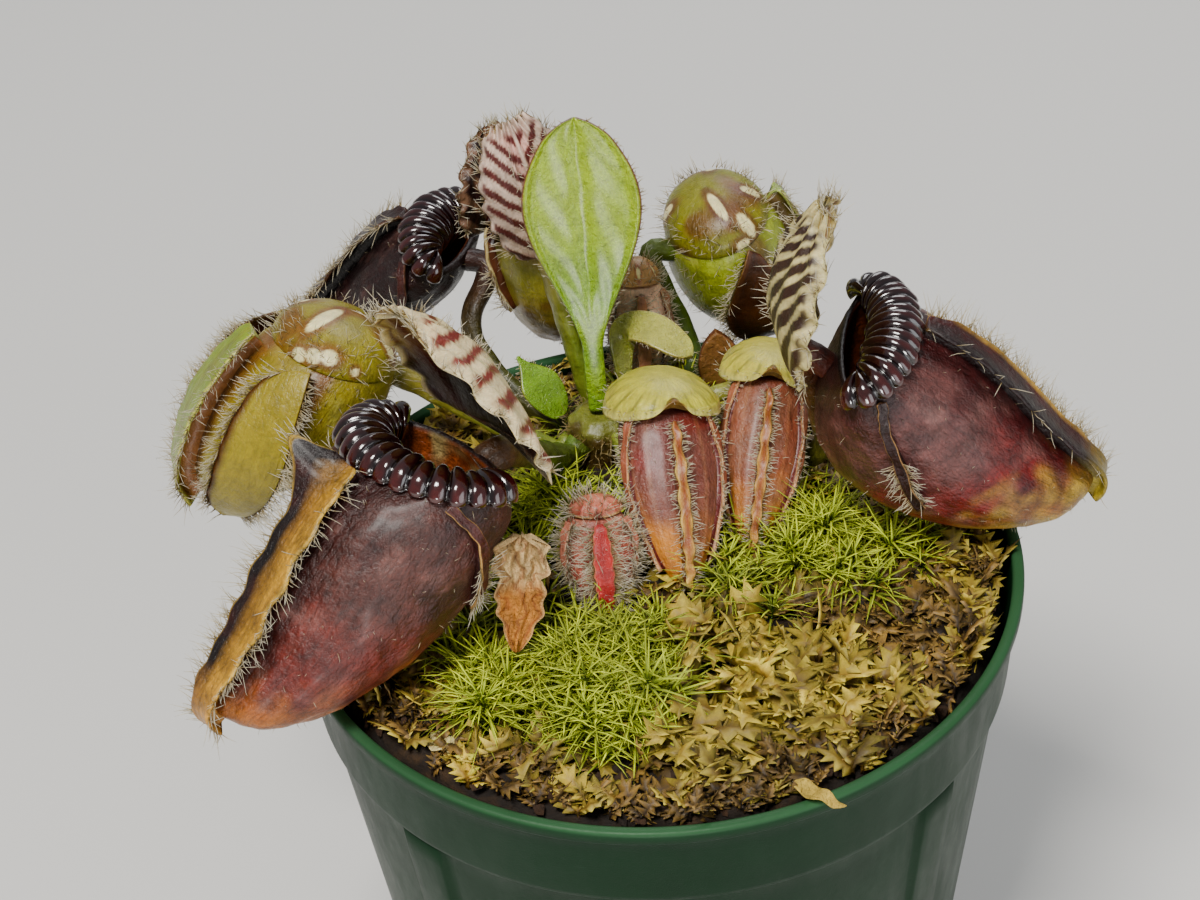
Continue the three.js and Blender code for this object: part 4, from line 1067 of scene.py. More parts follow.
def mature_tint(mouth, flank, low, toe, dark, seed):
    """Colours of a mature flank from the mouth to the toe, darker by the keel."""
    def tint(a, t, local):
        at = t + 0.07 * noise(local, 4.0, seed)
        golden = smooth(at + 0.1 * noise(local, 1.6, seed + 9), 0.58, 0.8)
        soft_patches = smooth(noise(local, 2.6, seed + 5) + 0.5 * noise(local, 0.9, seed + 6), 0.2, 0.9)
        shadow = smooth(noise(local, 3.2, seed + 7) + 0.4 * noise(local, 1.1, seed + 8), 0.05, 0.8)
        return coats(
            fill(mouth, a),
            (flank, smooth(at, 0.02, 0.22)),
            (low, smooth(at, 0.36, 0.56)),
            (toe, golden * (0.9 + 0.1 * np.cos(a))),
            (dark, smooth(0.55 - from_front(a), 0, 0.3) * (1 - smooth(at, 0.6, 0.85)) * 0.85),
            (toe * 0.9, smooth(-np.cos(a), 0.5, 1.0) * 0.55 * smooth(at, 0.2, 0.5)),
            # Grey-violet patches on the upper flank: painted satin sheen.
            (rgb(156, 118, 110), 0.28 * soft_patches * (1 - smooth(at, 0.6, 0.8))),
            (dark, 0.6 * shadow * (1 - 0.85 * golden)))
    return tint


def mature(name, seed, ribs, tint, keel_tint, wing_tint, stem, outer, inner, slot="mature_pitcher",
           skin=MATURE, dents=0.45, keel_hair=2.2, sparse=(1.0, 1.0), lid_hair=2.2):
    """An open pitcher: its skin, its ring of hoops, its lid and its hairs."""
    spec = PITCHERS[name]
    pitcher = Pitcher(spec, MATURE_FORM)
    body, hoops, lid, fuzz = Build(), Build(), Build(), Build()
    cup(body, pitcher, tint, folds(dents, seed))
    ridge = keel(body, pitcher, keel_tint, seed, **spec.get("keel", {}))
    edge_hairs(fuzz, pitcher, ridge, 8, keel_hair, seed + 20, sparse=sparse)
    for side in (1, -1):
        flap = wing(body, pitcher, side, wing_tint, **spec.get("wing", {}))
        edge_hairs(fuzz, pitcher, flap, 3.4, 1.8, seed + 30 + side, span=(0.5, 1.0))
    stalk(body, pitcher, stalk_tint(*stem), **spec["stalk"])
    flank_hairs(fuzz, pitcher, 220, 0.7, seed + 40, 0.03)
    body.make(f"{name}_skin", skin, slot, [f"{name}_body"])
    mouth_ring(hoops, pitcher, ribs)
    hoops.make(f"{name}_hoops", RING, "mouth_ring", [f"{name}_mouth_ring"])
    at, axes = raised_lid(lid, outer=outer, inner=inner, **spec["lid"])
    lid.make(f"{name}_fan_lid", LID, "striped_lid", [f"{name}_lid"])
    lid_hairs(fuzz, at, axes, seed + 50, lid_hair)
    fuzz.make(f"{name}_hairs", HAIR, slot)


mature(
    "pitcher_right", seed=101, ribs=17, keel_hair=2.5, sparse=(1.4, 0.12),
    tint=mature_tint(rgb(82, 42, 38), rgb(114, 76, 72), rgb(128, 40, 36), rgb(178, 150, 58),
                     rgb(72, 20, 22), 11),
    keel_tint=keel_tint(rgb(84, 30, 26), rgb(46, 14, 14), rgb(206, 168, 70), rgb(48, 14, 14), 3,
                        rgb(176, 158, 60), rgb(60, 16, 18), stain=0.4, rim=1.45),
    wing_tint=flared_tint(rgb(58, 20, 20), rgb(62, 24, 22), rgb(190, 152, 104)),
    stem=(rgb(120, 128, 50), rgb(112, 62, 50)),
    outer=striped(rgb(202, 190, 142), rgb(58, 12, 12), pitch=2.9, slope=1.5, cover=0.62, seed=21),
    inner=inner_lid(rgb(158, 140, 82), rgb(96, 34, 22), 4))
mature(
    "pitcher_front_left", seed=202, ribs=18, dents=0.5,
    tint=mature_tint(rgb(82, 46, 40), rgb(96, 58, 50), rgb(124, 56, 46), rgb(170, 112, 50),
                     rgb(62, 22, 20), 12),
    # The far flange's near-black colour (other) is partly its own dark colour, partly painted shade.
    keel_tint=keel_tint(rgb(184, 144, 46), rgb(56, 20, 20), rgb(200, 170, 80), rgb(92, 40, 26), 4,
                        rgb(190, 144, 70), rgb(34, 12, 10), stain=0.3),
    wing_tint=flared_tint(rgb(92, 44, 38), rgb(76, 34, 32), rgb(206, 170, 110)),
    stem=(rgb(112, 136, 44), rgb(104, 74, 44)),
    outer=striped(rgb(224, 208, 170), rgb(128, 40, 36), pitch=3.4, slope=0.8, cover=0.42, seed=22,
                  red=rgb(196, 146, 116)),
    inner=inner_lid(rgb(172, 152, 84), rgb(92, 22, 18), 5, rgb(56, 18, 16)))
# This pitcher stands in shadow behind the others, so all its tints are painted darker: painted shade.
mature(
    "pitcher_back_left", seed=303, ribs=14, lid_hair=1.5,
    tint=mature_tint(rgb(42, 15, 14), rgb(54, 22, 20), rgb(64, 26, 22), rgb(88, 48, 30), rgb(32, 8, 10), 13),
    keel_tint=keel_tint(rgb(60, 26, 20), rgb(36, 12, 12), rgb(120, 84, 50), rgb(38, 14, 12), 5),
    wing_tint=flared_tint(rgb(88, 46, 40), rgb(50, 22, 20), rgb(130, 92, 68)),
    stem=(rgb(96, 100, 40), rgb(78, 46, 36)),
    outer=striped(rgb(132, 102, 80), rgb(50, 12, 14), pitch=2.4, slope=0.8, cover=0.6, seed=23),
    inner=inner_lid(rgb(96, 72, 44), rgb(66, 18, 18), 6))
mature(
    "pitcher_back", seed=404, ribs=12, slot="green_pitcher", skin=GREEN, dents=0.3, lid_hair=1.9,
    tint=mature_tint(rgb(150, 124, 58), rgb(160, 156, 62), rgb(166, 144, 66), rgb(170, 136, 66),
                     rgb(128, 60, 44), 14),
    keel_tint=keel_tint(rgb(160, 164, 66), rgb(96, 60, 34), rgb(210, 204, 136), rgb(126, 72, 44), 6),
    wing_tint=flared_tint(rgb(146, 112, 60), rgb(110, 66, 40), rgb(206, 190, 140)),
    stem=(rgb(132, 150, 54), rgb(150, 142, 62)),
    outer=striped(rgb(222, 200, 184), rgb(104, 24, 28), pitch=2.5, slope=1.1, cover=0.48, seed=24,
                  red=rgb(208, 156, 146)),
    inner=inner_lid(rgb(160, 140, 84), rgb(110, 34, 28), 7))

# ---- Young pitchers -----------------------------------------------------------------------

def green_tint(main, brown, seed, pale=rgb(206, 200, 120)):
    """A green flank, browner in the grooves beside the keel and the wings: partly the skin's own brown,
    partly painted shade.
    """
    def tint(a, t, local):
        near = from_front(a)
        groove = smooth(0.5 - near, 0, 0.35) + smooth(0.28 - np.abs(near - 1.25), 0, 0.2)
        return coats(
            fill(main, a),
            (pale, 0.4 * mottled(local, 2.6, seed + 1, 0, 0.9)),
            (brown, np.clip(groove, 0, 1) * 0.8),
            (brown, 0.35 * smooth(noise(local, 4.5, seed) * 0.5 + 0.5, 0.55, 0.95)))
    return tint


def window_lid(main, brown, seed, windows, white=rgb(236, 226, 176)):
    """A dome with pale windows, each with its angle, share, half length and half width."""
    def tint(a, share, local):
        halo, pane = np.zeros(a.shape), np.zeros(a.shape)
        for angle, at, long, wide in windows:
            off = np.hypot(wrapped(a - math.radians(angle)) * share / wide, (share - at) / long)
            halo = np.maximum(halo, smooth(2.6 - off, 0, 1.4))
            pane = np.maximum(pane, smooth(1.15 - off, 0, 0.25))
        return coats(
            fill(main, a),
            (main * 1.25, 0.7 * mottled(local, 3.4, seed + 1, 0, 0.7)),
            (brown, 0.7 * mottled(local, 2.8, seed, 0.0, 0.6)),
            (brown, 0.75 * halo),
            (white, pane))
    return tint


def ribbed_small(top, side, low, seed):
    """A small flank that changes colour towards its foot, with pale lines of painted highlight on its ribs
    and dark lines of painted shade in its grooves.
    """
    def tint(a, t, local):
        at = t + 0.1 * noise(local, 2.0, seed)
        near = from_front(a)
        rib = bell(near - 0.62, 0.05) + bell(near - 1.05, 0.05)
        groove = bell(near - 0.5, 0.08) + bell(near - 0.2, 0.08)
        soft_patches = mottled(local, 1.5, seed + 4, 0.1, 0.8) * (1 - smooth(at, 0.4, 0.7))
        return coats(
            fill(top, a),
            (side, 0.75 * mottled(local, 3.4, seed + 1, -0.1, 0.6)),
            (low, smooth(at, 0.42, 0.74) * (0.6 + 0.4 * mottled(local, 1.6, seed + 2, -0.4, 0.4))),
            (rgb(206, 160, 110), 0.14 * rib),
            (side * 0.5, 0.16 * groove * (1 - smooth(at, 0.5, 0.8))),
            (top * 1.25, 0.5 * soft_patches))
    return tint


def fan_lid(main, line, seed, cells=16):
    """A small dome with dark veins that fan out, a pale rim and a brown notch in front."""
    def tint(a, share, local):
        phase = a * cells / (2 * math.pi) + 0.12 * noise(local, 1.4, seed)
        vein = smooth(np.cos(2 * math.pi * phase), 0.7, 0.98) * smooth(share, 0.35, 0.6)
        notch = smooth(0.26 * share - from_front(a), 0, 0.1) * smooth(share, 0.62, 0.85)
        return coats(
            fill(main, a),
            (main * 1.2, 0.6 * mottled(local, 1.8, seed + 1, 0, 0.7)),
            (line, 0.6 * vein),
            (rgb(124, 70, 40), 0.8 * notch),
            (rgb(226, 218, 150), 0.5 * smooth(share, 0.86, 1.0) * (1 - notch)))
    return tint


def ridged(colour, t, outline):
    """Dark ridges that run along a broad brown lobe."""
    waves = np.cos(2 * math.pi * outline[..., 0] / 1.5)
    return blend(colour, rgb(52, 26, 12), 0.7 * smooth(waves, 0.0, 0.9))


def young(name, seed, tint, lid_tint, keel_tint, wing_tint, stem, slot="small_pitcher", skin=SMALL,
          form=SLIM_FORM, dents=0.2, hair=1.1, per_mm=8, on_flank=120, on_lid=50, lid_low=0.9, short=0.6):
    """A pitcher that is still shut: its skin, its domed lid and its hairs."""
    spec = PITCHERS[name]
    pitcher = Pitcher(spec, form)
    body, fuzz, lid = Build(), Build(), Build()
    bulb(body, pitcher, tint, folds(dents, seed))
    ridge = keel(body, pitcher, keel_tint, seed, **{"lift": 0.3, "ruffle": 0.08, **spec["keel"]})
    edge_hairs(fuzz, pitcher, ridge, per_mm, hair, seed + 20)
    for side in (1, -1):
        flap = wing(body, pitcher, side, wing_tint, **spec["wing"])
        edge_hairs(fuzz, pitcher, flap, per_mm, hair * 0.85, seed + 30 + side)
    stalk(body, pitcher, stalk_tint(*stem), **spec["stalk"])
    cap = spec["lid"]
    closed_lid(lid, pitcher, lid_tint, **cap)
    flank_hairs(fuzz, pitcher, on_flank, hair * short, seed + 40, 0.036)
    dome_hairs(fuzz, pitcher, cap["height"], on_lid, hair * 0.8, seed + 50, lid_low,
               overhang=cap["overhang"], drape=cap.get("drape", 0.0))
    body.make(f"{name}_skin", skin, slot, [f"{name}_body"])
    lid.make(f"{name}_dome_lid", GREEN, "young_lid", [f"{name}_lid"])
    fuzz.make(f"{name}_hairs", HAIR, slot)


young(
    "young_pitcher_left", seed=505, slot="green_pitcher", skin=GREEN, form=YOUNG_FORM, hair=2.2,
    per_mm=12, on_flank=700, on_lid=260, lid_low=0.5,
    tint=green_tint(rgb(158, 146, 42), rgb(136, 84, 46), 31),
    lid_tint=window_lid(rgb(152, 142, 38), rgb(132, 78, 30), 32, [
        (38, 0.32, 0.26, 0.07), (45, 0.9, 0.1, 0.1), (58, 0.82, 0.1, 0.1), (72, 0.76, 0.1, 0.1),
        (-40, 0.6, 0.16, 0.07), (150, 0.6, 0.16, 0.07), (-110, 0.6, 0.16, 0.07), (98, 0.86, 0.06, 0.05)]),
    keel_tint=keel_tint(rgb(146, 164, 34), rgb(158, 160, 48), rgb(206, 206, 116), rgb(130, 92, 50), 7,
                        stain=0.25, stem=rgb(178, 128, 78)),
    wing_tint=flared_tint(rgb(168, 154, 46), rgb(96, 50, 28), rgb(92, 48, 28), other=rgb(164, 150, 46)),
    stem=(rgb(140, 152, 60), rgb(158, 148, 62)))
young(
    "young_pitcher_back_right", seed=606, slot="green_pitcher", skin=GREEN, form=YOUNG_FORM, hair=2.0,
    per_mm=12, on_flank=560, on_lid=230, lid_low=0.5,
    tint=green_tint(rgb(164, 174, 54), rgb(110, 66, 32), 41),
    lid_tint=window_lid(rgb(140, 138, 36), rgb(116, 56, 24), 42, [
        (-86, 0.3, 0.2, 0.06), (-68, 0.74, 0.2, 0.09), (-84, 0.94, 0.09, 0.12), (-20, 0.6, 0.15, 0.07),
        (60, 0.6, 0.16, 0.07), (160, 0.62, 0.15, 0.07)]),
    keel_tint=keel_tint(rgb(146, 168, 72), rgb(140, 158, 66), rgb(200, 206, 130), rgb(130, 110, 50), 8,
                        stain=0.35, stem=rgb(120, 96, 44)),
    wing_tint=flared_tint(rgb(100, 62, 26), rgb(70, 40, 18), rgb(140, 112, 54), other=rgb(100, 62, 26),
                          along=ridged),
    stem=(rgb(84, 106, 40), rgb(104, 120, 42)))
young(
    "small_pitcher_front", seed=707, dents=0.18,
    tint=ribbed_small(rgb(132, 84, 72), rgb(134, 48, 40), rgb(214, 150, 40), 51),
    lid_tint=fan_lid(rgb(190, 184, 74), rgb(112, 112, 40), 52),
    keel_tint=keel_tint(rgb(214, 176, 92), rgb(128, 74, 44), rgb(236, 214, 132), rgb(150, 80, 48), 9,
                        stain=0.8),
    wing_tint=flared_tint(rgb(166, 104, 76), rgb(120, 50, 44), rgb(206, 166, 120)),
    stem=(rgb(150, 160, 70), rgb(160, 140, 76)))
young(
    "small_pitcher_middle", seed=808, on_flank=110, dents=0.18,
    tint=ribbed_small(rgb(152, 104, 80), rgb(152, 82, 58), rgb(206, 148, 50), 61),
    lid_tint=fan_lid(rgb(194, 186, 82), rgb(116, 116, 44), 62),
    keel_tint=keel_tint(rgb(212, 170, 88), rgb(130, 80, 46), rgb(230, 204, 128), rgb(150, 84, 50), 10,
                        stain=0.8),
    wing_tint=flared_tint(rgb(170, 112, 82), rgb(124, 60, 50), rgb(204, 160, 116)),
    stem=(rgb(150, 160, 70), rgb(160, 140, 76)))
# This pitcher stands in shade behind the large leaf, so its tints are painted paler to make up for it:
# painted light.
young(
    "young_pitcher_behind_leaf", seed=909, slot="tan_pitcher", hair=1.7, per_mm=9, on_flank=640,
    on_lid=200, lid_low=0.2, short=0.8,
    tint=ribbed_small(rgb(250, 214, 186), rgb(240, 182, 152), rgb(224, 188, 128), 71),
    lid_tint=window_lid(rgb(196, 158, 104), rgb(176, 112, 84), 72,
                        [(k * 51, 0.66, 0.16, 0.06) for k in range(7)]),
    keel_tint=keel_tint(rgb(200, 156, 116), rgb(140, 92, 70), rgb(214, 190, 150), rgb(160, 110, 84), 11),
    wing_tint=flared_tint(rgb(176, 130, 100), rgb(136, 88, 66), rgb(206, 176, 140)),
    stem=(rgb(130, 130, 60), rgb(160, 130, 86)))
young(
    "baby_pitcher", seed=111, hair=2.1, per_mm=18, on_flank=760, on_lid=200, lid_low=0.2, short=0.9,
    tint=ribbed_small(rgb(204, 142, 120), rgb(196, 70, 62), rgb(210, 156, 120), 81),
    lid_tint=fan_lid(rgb(202, 132, 108), rgb(176, 60, 52), 82, cells=8),
    keel_tint=keel_tint(rgb(190, 56, 50), rgb(150, 76, 64), rgb(214, 150, 120), rgb(150, 36, 36), 12),
    wing_tint=flared_tint(rgb(206, 140, 116), rgb(170, 96, 80), rgb(226, 196, 166)),
    stem=(rgb(190, 170, 110), rgb(200, 150, 120)))

# ---- Leaves -------------------------------------------------------------------------------

def leaf(node, slot, material, path, half_width, thickness, cupped, facing, tint, shape=None, fringe=None,
         steps=90):
    """A leaf along a path, cupped, with a rolled margin; a fringe of hairs stands on its edges."""
    points = even(path, steps)
    heads = ahead_of(points)
    side = unit(np.cross(heads, np.array(facing, float)))
    over = np.cross(side, heads)
    t = np.linspace(0, 1, steps)[:, None]
    turn = turns(80)[None]
    x = np.cos(turn)
    on_top = np.sin(turn) > 0
    wide = half_width(t)
    margin = np.sign(np.sin(turn)) * np.abs(np.sin(turn)) ** 0.5
    lift = thickness(t) / 2 * margin + cupped * wide * x ** 2
    if shape is not None:
        lift = lift + shape(x, t, on_top)
    rows = points[:, None] + side[:, None] * (wide * x)[..., None] + over[:, None] * lift[..., None]
    xx, tt = np.broadcast_arrays(x, t)
    flat = stacked(xx * wide, tt * 30, 0)
    build = Build()
    build.loft(rows, tint(xx, tt, flat), flat,
               poles=(points[0] - heads[0] * 0.1, points[-1] + heads[-1] * 0.1))
    build.make(f"{node}_blade", material, slot, [node])
    if fringe is None:
        return
    seed, count, length, low = fringe
    fuzz = Build()
    random = np.random.default_rng(seed)
    k = random.integers(int(steps * low), steps - 1, count)
    sign = coin(random, count)
    reach = wide[k, 0]
    roots = points[k] + side[k] * (sign * reach)[:, None] + over[k] * (cupped * reach)[:, None]
    hairs(fuzz, roots, side[k] * sign[:, None] + heads[k] * 0.5, length, seed + 1, width=0.05)
    fuzz.make(f"{node}_blade_hairs", HAIR, slot)


def blade_tint(main, low, edge, vein, seed, rim=0.9):
    def tint(x, t, flat):
        return coats(
            fill(low, x),
            (main, smooth(t, 0.3, 0.75)),
            (vein, 0.35 * bell(x, 0.08) * smooth(0.9 - t, 0, 0.5)),
            (main * 1.15, 0.4 * mottled(flat, 3.0, seed, 0, 0.8)),
            (edge, smooth(np.abs(x), rim, 0.985) * smooth(t, 0.35, 0.6)))
    return tint


def large_width(t):
    blade = (np.maximum(t - 0.22, 0) / 0.78) ** 1.35
    return (1.1 + 5.2 * np.maximum(np.sin(math.pi * blade * 0.93), 0) ** 1.1) * round_end(t, 0.93, 0.071)


def large_shape(x, t, top):
    """A raised margin, a sunken midrib and faint waves on the large leaf's upper side."""
    margin = 0.3 * np.exp(-(np.abs(x) - 0.93) ** 2 / 0.004)
    midrib = 0.28 * bell(x, 0.13) * smooth(t, 0.3, 0.5)
    waves = 0.05 * np.sin(27 * t + 4 * x) * np.sin(9 * x + 11 * t)
    return (margin - midrib + waves) * smooth(t, 0.25, 0.45) * top


def ragged_width(t):
    """Half the dried leaf's width: a crumpled head, a waist and a blade that narrows to its tip."""
    head = 2.7 * smooth(t, -0.05, 0.06) * (1 - smooth(t, 0.24, 0.34))
    blade = smooth(t, 0.24, 0.36) * (2.4 - 1.5 * smooth(t, 0.55, 1.0))
    return np.maximum(head + blade, 0.9) * (1 + 0.08 * np.sin(31 * t)) * round_end(t, 0.9, 0.101)


def ragged_shape(x, t, top):
    """Crumples by the dried leaf's head and a fold along its blade."""
    crumples = 0.75 * np.sin(9 * x + 14 * t) * (1 - smooth(t, 0.25, 0.4))
    return crumples + 0.35 * np.sin(17 * x - 20 * t) * (1 - t) + 0.9 * bell(x, 0.35) * smooth(t, 0.3, 0.5)


def dried_tint(x, t, flat):
    stripes = smooth(np.cos(9 * x + 3 * noise(flat, 2.0, 3)), 0.3, 1.0)
    return coats(fill(rgb(206, 180, 134), x), (rgb(188, 134, 64), smooth(t, 0.3, 0.5)),
                 (rgb(140, 80, 40), 0.6 * stripes), (rgb(224, 196, 150), 0.5 * smooth(np.abs(x), 0.8, 1.0)))


leaf("large_leaf", "green_leaf", LEAF, [(-5, 18.4, 6.1), (-5.2, 20, 13), (-5.2, 22.6, 22), (-5.5, 27.6, 37)],
     large_width, lambda t: lerp(2.2, 0.9, np.minimum(t * 2, 1)), 0.1, (0, -1, 0.3),
     blade_tint(rgb(172, 194, 14), rgb(140, 176, 6), rgb(138, 78, 40), rgb(128, 160, 20), 91, rim=0.955),
     shape=large_shape, fringe=(92, 150, 0.7, 0.3))
leaf("small_leaf_left", "green_leaf", LEAF, [(-9.3, 19.7, 4.2), (-10.4, 20.6, 6), (-13.6, 23.4, 9.8)],
     lambda t: 0.2 + (0.55 + 1.5 * np.sin(math.pi * t ** 0.8 * 0.9)) * (1 - smooth(t, 0.5, 1.03)) ** 0.9,
     lambda t: 0.9 * (1 - 0.5 * smooth(t, 0.5, 1)), 0.15, (0.2, -0.6, 0.8),
     blade_tint(rgb(146, 184, 16), rgb(134, 168, 14), rgb(176, 190, 60), rgb(110, 146, 20), 93),
     fringe=(94, 50, 0.5, 0.3), steps=50)
leaf("small_leaf_right", "pale_leaf", LEAF,
     [(-2.1, 21.7, 5), (-1.9, 24, 11.4), (1, 22.8, 12.8), (5.4, 19.4, 11.4)],
     lambda t: (0.7 + 1.3 * np.sin(math.pi * t ** 1.6 * 0.93)) * round_end(t, 0.9, 0.101),
     lambda t: 0.9, 0.15, (0.2, -0.5, 0.9),
     blade_tint(rgb(194, 192, 96), rgb(168, 172, 72), rgb(206, 196, 112), rgb(150, 156, 66), 95),
     fringe=(96, 40, 0.5, 0.3), steps=60)
leaf("bud_leaf", "dried_leaf", SMALL, [(9.2, 27, -5), (8.9, 27.2, 1), (8.3, 28, 8.2)],
     lambda t: (0.8 + 1.7 * np.maximum(np.sin(math.pi * (1.5 * t - 0.52)), 0)) * round_end(t, 0.88, 0.121),
     lambda t: 1.3, 0.2, (0, -0.8, 0.5),
     blade_tint(rgb(150, 112, 66), rgb(130, 104, 50), rgb(120, 76, 44), rgb(110, 74, 40), 97),
     fringe=(98, 60, 0.9, 0.5), steps=40)
leaf("dried_leaf", "dried_leaf", DRY,
     [(-12.8, -11.6, 14.4), (-13.2, -12.8, 10.8), (-13.6, -14.2, 6.4), (-14.2, -16.4, 3.6)],
     ragged_width, lambda t: 0.6, 0.5, (0.1, -0.6, 0.7), dried_tint, shape=ragged_shape)

# ---- Crown, soil and pot ------------------------------------------------------------------

CROWN_OUTLINE = [(0.7, -11), (0.92, -9.5), (1, -8), (1, -3), (1, 1), (1, 3.9), (0.9, 4.7), (0.6, 5.5),
                 (0.25, 5.55)]


def crown():
    """The hairy stock that the stalks leave."""
    build = Build()
    shares = np.linspace(0, 1, 48)
    radii, heights = (np.interp(shares, np.linspace(0, 1, len(CROWN_OUTLINE)), column)
                      for column in np.transpose(CROWN_OUTLINE))
    a, z = np.meshgrid(turns(64), heights)
    scale = 1 + 0.05 * np.sin(5 * a + z) + 0.03 * np.sin(11 * a - 1.4 * z)
    rows = CROWN + ring((radii * CROWN_RADIUS)[:, None] * scale, a, z)
    colour = coats(fill(rgb(110, 92, 46), z), (rgb(140, 148, 62), 0.7 * smooth(z, 2.5, 5.5)),
                   (rgb(84, 52, 30), 0.7 * mottled(rows, 1.3, 9, 0, 0.7)))
    build.loft(rows, colour)
    build.make("crown_stock", SMALL, "crown_tissue", ["crown"])
    fuzz = Build()
    random = np.random.default_rng(77)
    n = 260
    turn, height = random.uniform(0, 2 * math.pi, n), random.uniform(0.5, 5, n)
    roots = CROWN + ring(3.5, turn, height)
    hairs(fuzz, roots, roots - CROWN - stacked(0, 0, height - 1.5), 1.6, 78, spread=0.5,
          root=rgb(150, 120, 70), tip=rgb(200, 186, 140))
    fuzz.make("crown_hairs", HAIR, "crown_tissue")


crown()

# The radius at which the loose peat meets the pot's wall.
BRIM = 35.75


def soil():
    """The damp peat: a lumpy top over a plain plug that fills the pot."""
    build = Build()
    angle = turns(240)
    wall_top = POT_BODY_RADIUS - POT_WALL - GAP
    wall_foot = POT_FOOT_RADIUS - POT_WALL - GAP
    bottom = POT_FLOOR + GAP - POT_HEIGHT
    a, s = np.meshgrid(angle, np.linspace(0.012, 1, 84) ** 0.8)
    flat = ring(s * BRIM, a, 0)
    x, y = flat[..., 0], flat[..., 1]
    lumps = 0.9 * noise(flat, 3.0, 1) + 0.5 * noise(flat, 1.3, 2) + 0.3 * noise(flat, 0.6, 3)
    z = lerp(soil_top(x, y), ground(x, y) + 0.6 * lumps, smooth(1 - s, 0, 0.015))
    rows = [*np.stack([x, y, z], -1)]
    for share in np.linspace(0, 1, 12)[1:]:
        rows.append(ring(lerp(wall_top, wall_foot, share), angle, lerp(-SOIL_EDGE_DEPTH, bottom, share)))
    for share in (0.7, 0.35):
        rows.append(ring(share * wall_foot, angle, bottom))
    rows = np.array(rows)
    colour = blend(np.broadcast_to(rgb(50, 36, 20), rows.shape), rgb(96, 72, 40),
                   mottled(rows, 1.1, 4, 0.1, 0.8) * 0.7)
    build.loft(rows, colour)
    build.make("peat_bed", PEAT, "growing_mix", ["growing_medium"])


soil()

BAND_FOOT = POT_HEIGHT - 10.9
RIB_ANGLES = np.radians([-43, 47, 137, 227])
RIB_HALF = 2.2 / 33
# A rib's edges in half widths, so that the mesh has a line of points along each of them.
RIB_EDGES = np.array([-1.16, -1.02, -0.9, -0.5, 0, 0.5, 0.9, 1.02, 1.16])
HOLE_RADIUS = 3.4
HOLE_RING = 23.5


def slope(start, end, count):
    """Even steps between two points of the pot's profile."""
    return [lerp(np.array(start), np.array(end), s) for s in np.linspace(0, 1, count)]


def pot_profile():
    """The pot's radius and height from the middle of its underside, out, up and back inside."""
    below = [(20, 0.0), (28.6, 0.0), (29.3, 0.12), (29.9, 0.55), (30.2, 1.3)]
    body = slope((30.3, 2.2), (36.15, BAND_FOOT - 0.3), 22)
    step = [(36.25, BAND_FOOT), (36.7, BAND_FOOT + 0.18), (36.88, BAND_FOOT + 0.45)]
    band = slope((36.93, BAND_FOOT + 0.9), (37.45, POT_HEIGHT - 2.0), 8)
    rim = [(radius, POT_HEIGHT - down) for radius, down in (
        (37.52, 1.75), (37.85, 1.55), (38.0, 1.3), (38.0, 0.45), (37.9, 0.12), (37.6, 0), (37.1, 0),
        (36.85, 0.15))]
    inside = slope((36.7, POT_HEIGHT - 1.0), (35.95, BAND_FOOT + 1.4), 6) + [(35.3, BAND_FOOT + 0.3)]
    inside += slope((35.1, BAND_FOOT - 1), (29.25, 2.2), 10) + [(28.6, POT_FLOOR), (20, POT_FLOOR)]
    ribbed = len(below) + len(body)
    return np.array(below + body + step + band + rim + inside, float), ribbed


def near_rib(angle):
    return np.min(from_front(angle[:, None] - RIB_ANGLES[None]), axis=1)


def pot():
    """The pot: a thin tapered shell with a rim band, four low ribs and drain holes."""
    profile, ribbed = pot_profile()
    radius, height = profile[:, :1], profile[:, 1]
    even_angles = turns(224)
    rib_lines = (RIB_ANGLES[:, None] + RIB_HALF * RIB_EDGES).ravel() % (2 * math.pi)
    angle = np.sort(np.concatenate([even_angles[near_rib(even_angles) > RIB_HALF * 1.3], rib_lines]))
    on_rib = smooth(RIB_HALF * 1.16 - near_rib(angle), 0, RIB_HALF * 0.2)
    rise = smooth(height, 5.2, 6.2) * (1 - smooth(height, BAND_FOOT - 0.4, BAND_FOOT - 0.1))
    rise = (rise * (np.arange(len(height)) < ribbed))[:, None]
    rows = ring(radius + 0.6 * rise * on_rib, angle, height[:, None] - POT_HEIGHT)
    rib_edge = smooth(0.5 - np.abs(on_rib - 0.5), 0.1, 0.5)
    colour = coats(
        np.broadcast_to(rgb(8, 60, 33), rows.shape),
        # The rim's top is painted paler: painted highlight.
        (rgb(92, 136, 98), 0.4 * smooth(height, POT_HEIGHT - 0.6, POT_HEIGHT - 0.1)[:, None]),
        # Darker lines along the ribs' edges: painted shade.
        (rgb(10, 44, 28), 0.5 * (rise * rib_edge)))
    build = Build()
    build.loft(rows, colour, poles=(np.array([0, 0, -POT_HEIGHT]), np.array([0, 0, POT_FLOOR - POT_HEIGHT])))
    piece = build.make("pot_shell", PLASTIC, "pot_plastic", ["pot"])
    cutters = []
    for turn in RIB_ANGLES + math.pi / 4:
        place = (HOLE_RING * MM * math.cos(turn), HOLE_RING * MM * math.sin(turn), 1 * MM)
        bpy.ops.mesh.primitive_cylinder_add(vertices=48, radius=HOLE_RADIUS * MM, depth=8 * MM,
                                            location=place)
        cutters.append(bpy.context.object)
    for cutter in cutters:
        cut = piece.modifiers.new("hole", "BOOLEAN")
        cut.operation = "DIFFERENCE"
        cut.object = cutter
        cut.solver = "EXACT"
    bpy.context.view_layer.update()
    shell = bpy.data.meshes.new_from_object(piece.evaluated_get(bpy.context.evaluated_depsgraph_get()))
    piece.modifiers.clear()
    piece.data = shell
    for cutter in cutters:
        bpy.data.objects.remove(cutter, do_unlink=True)


pot()

# ---- Moss ---------------------------------------------------------------------------------

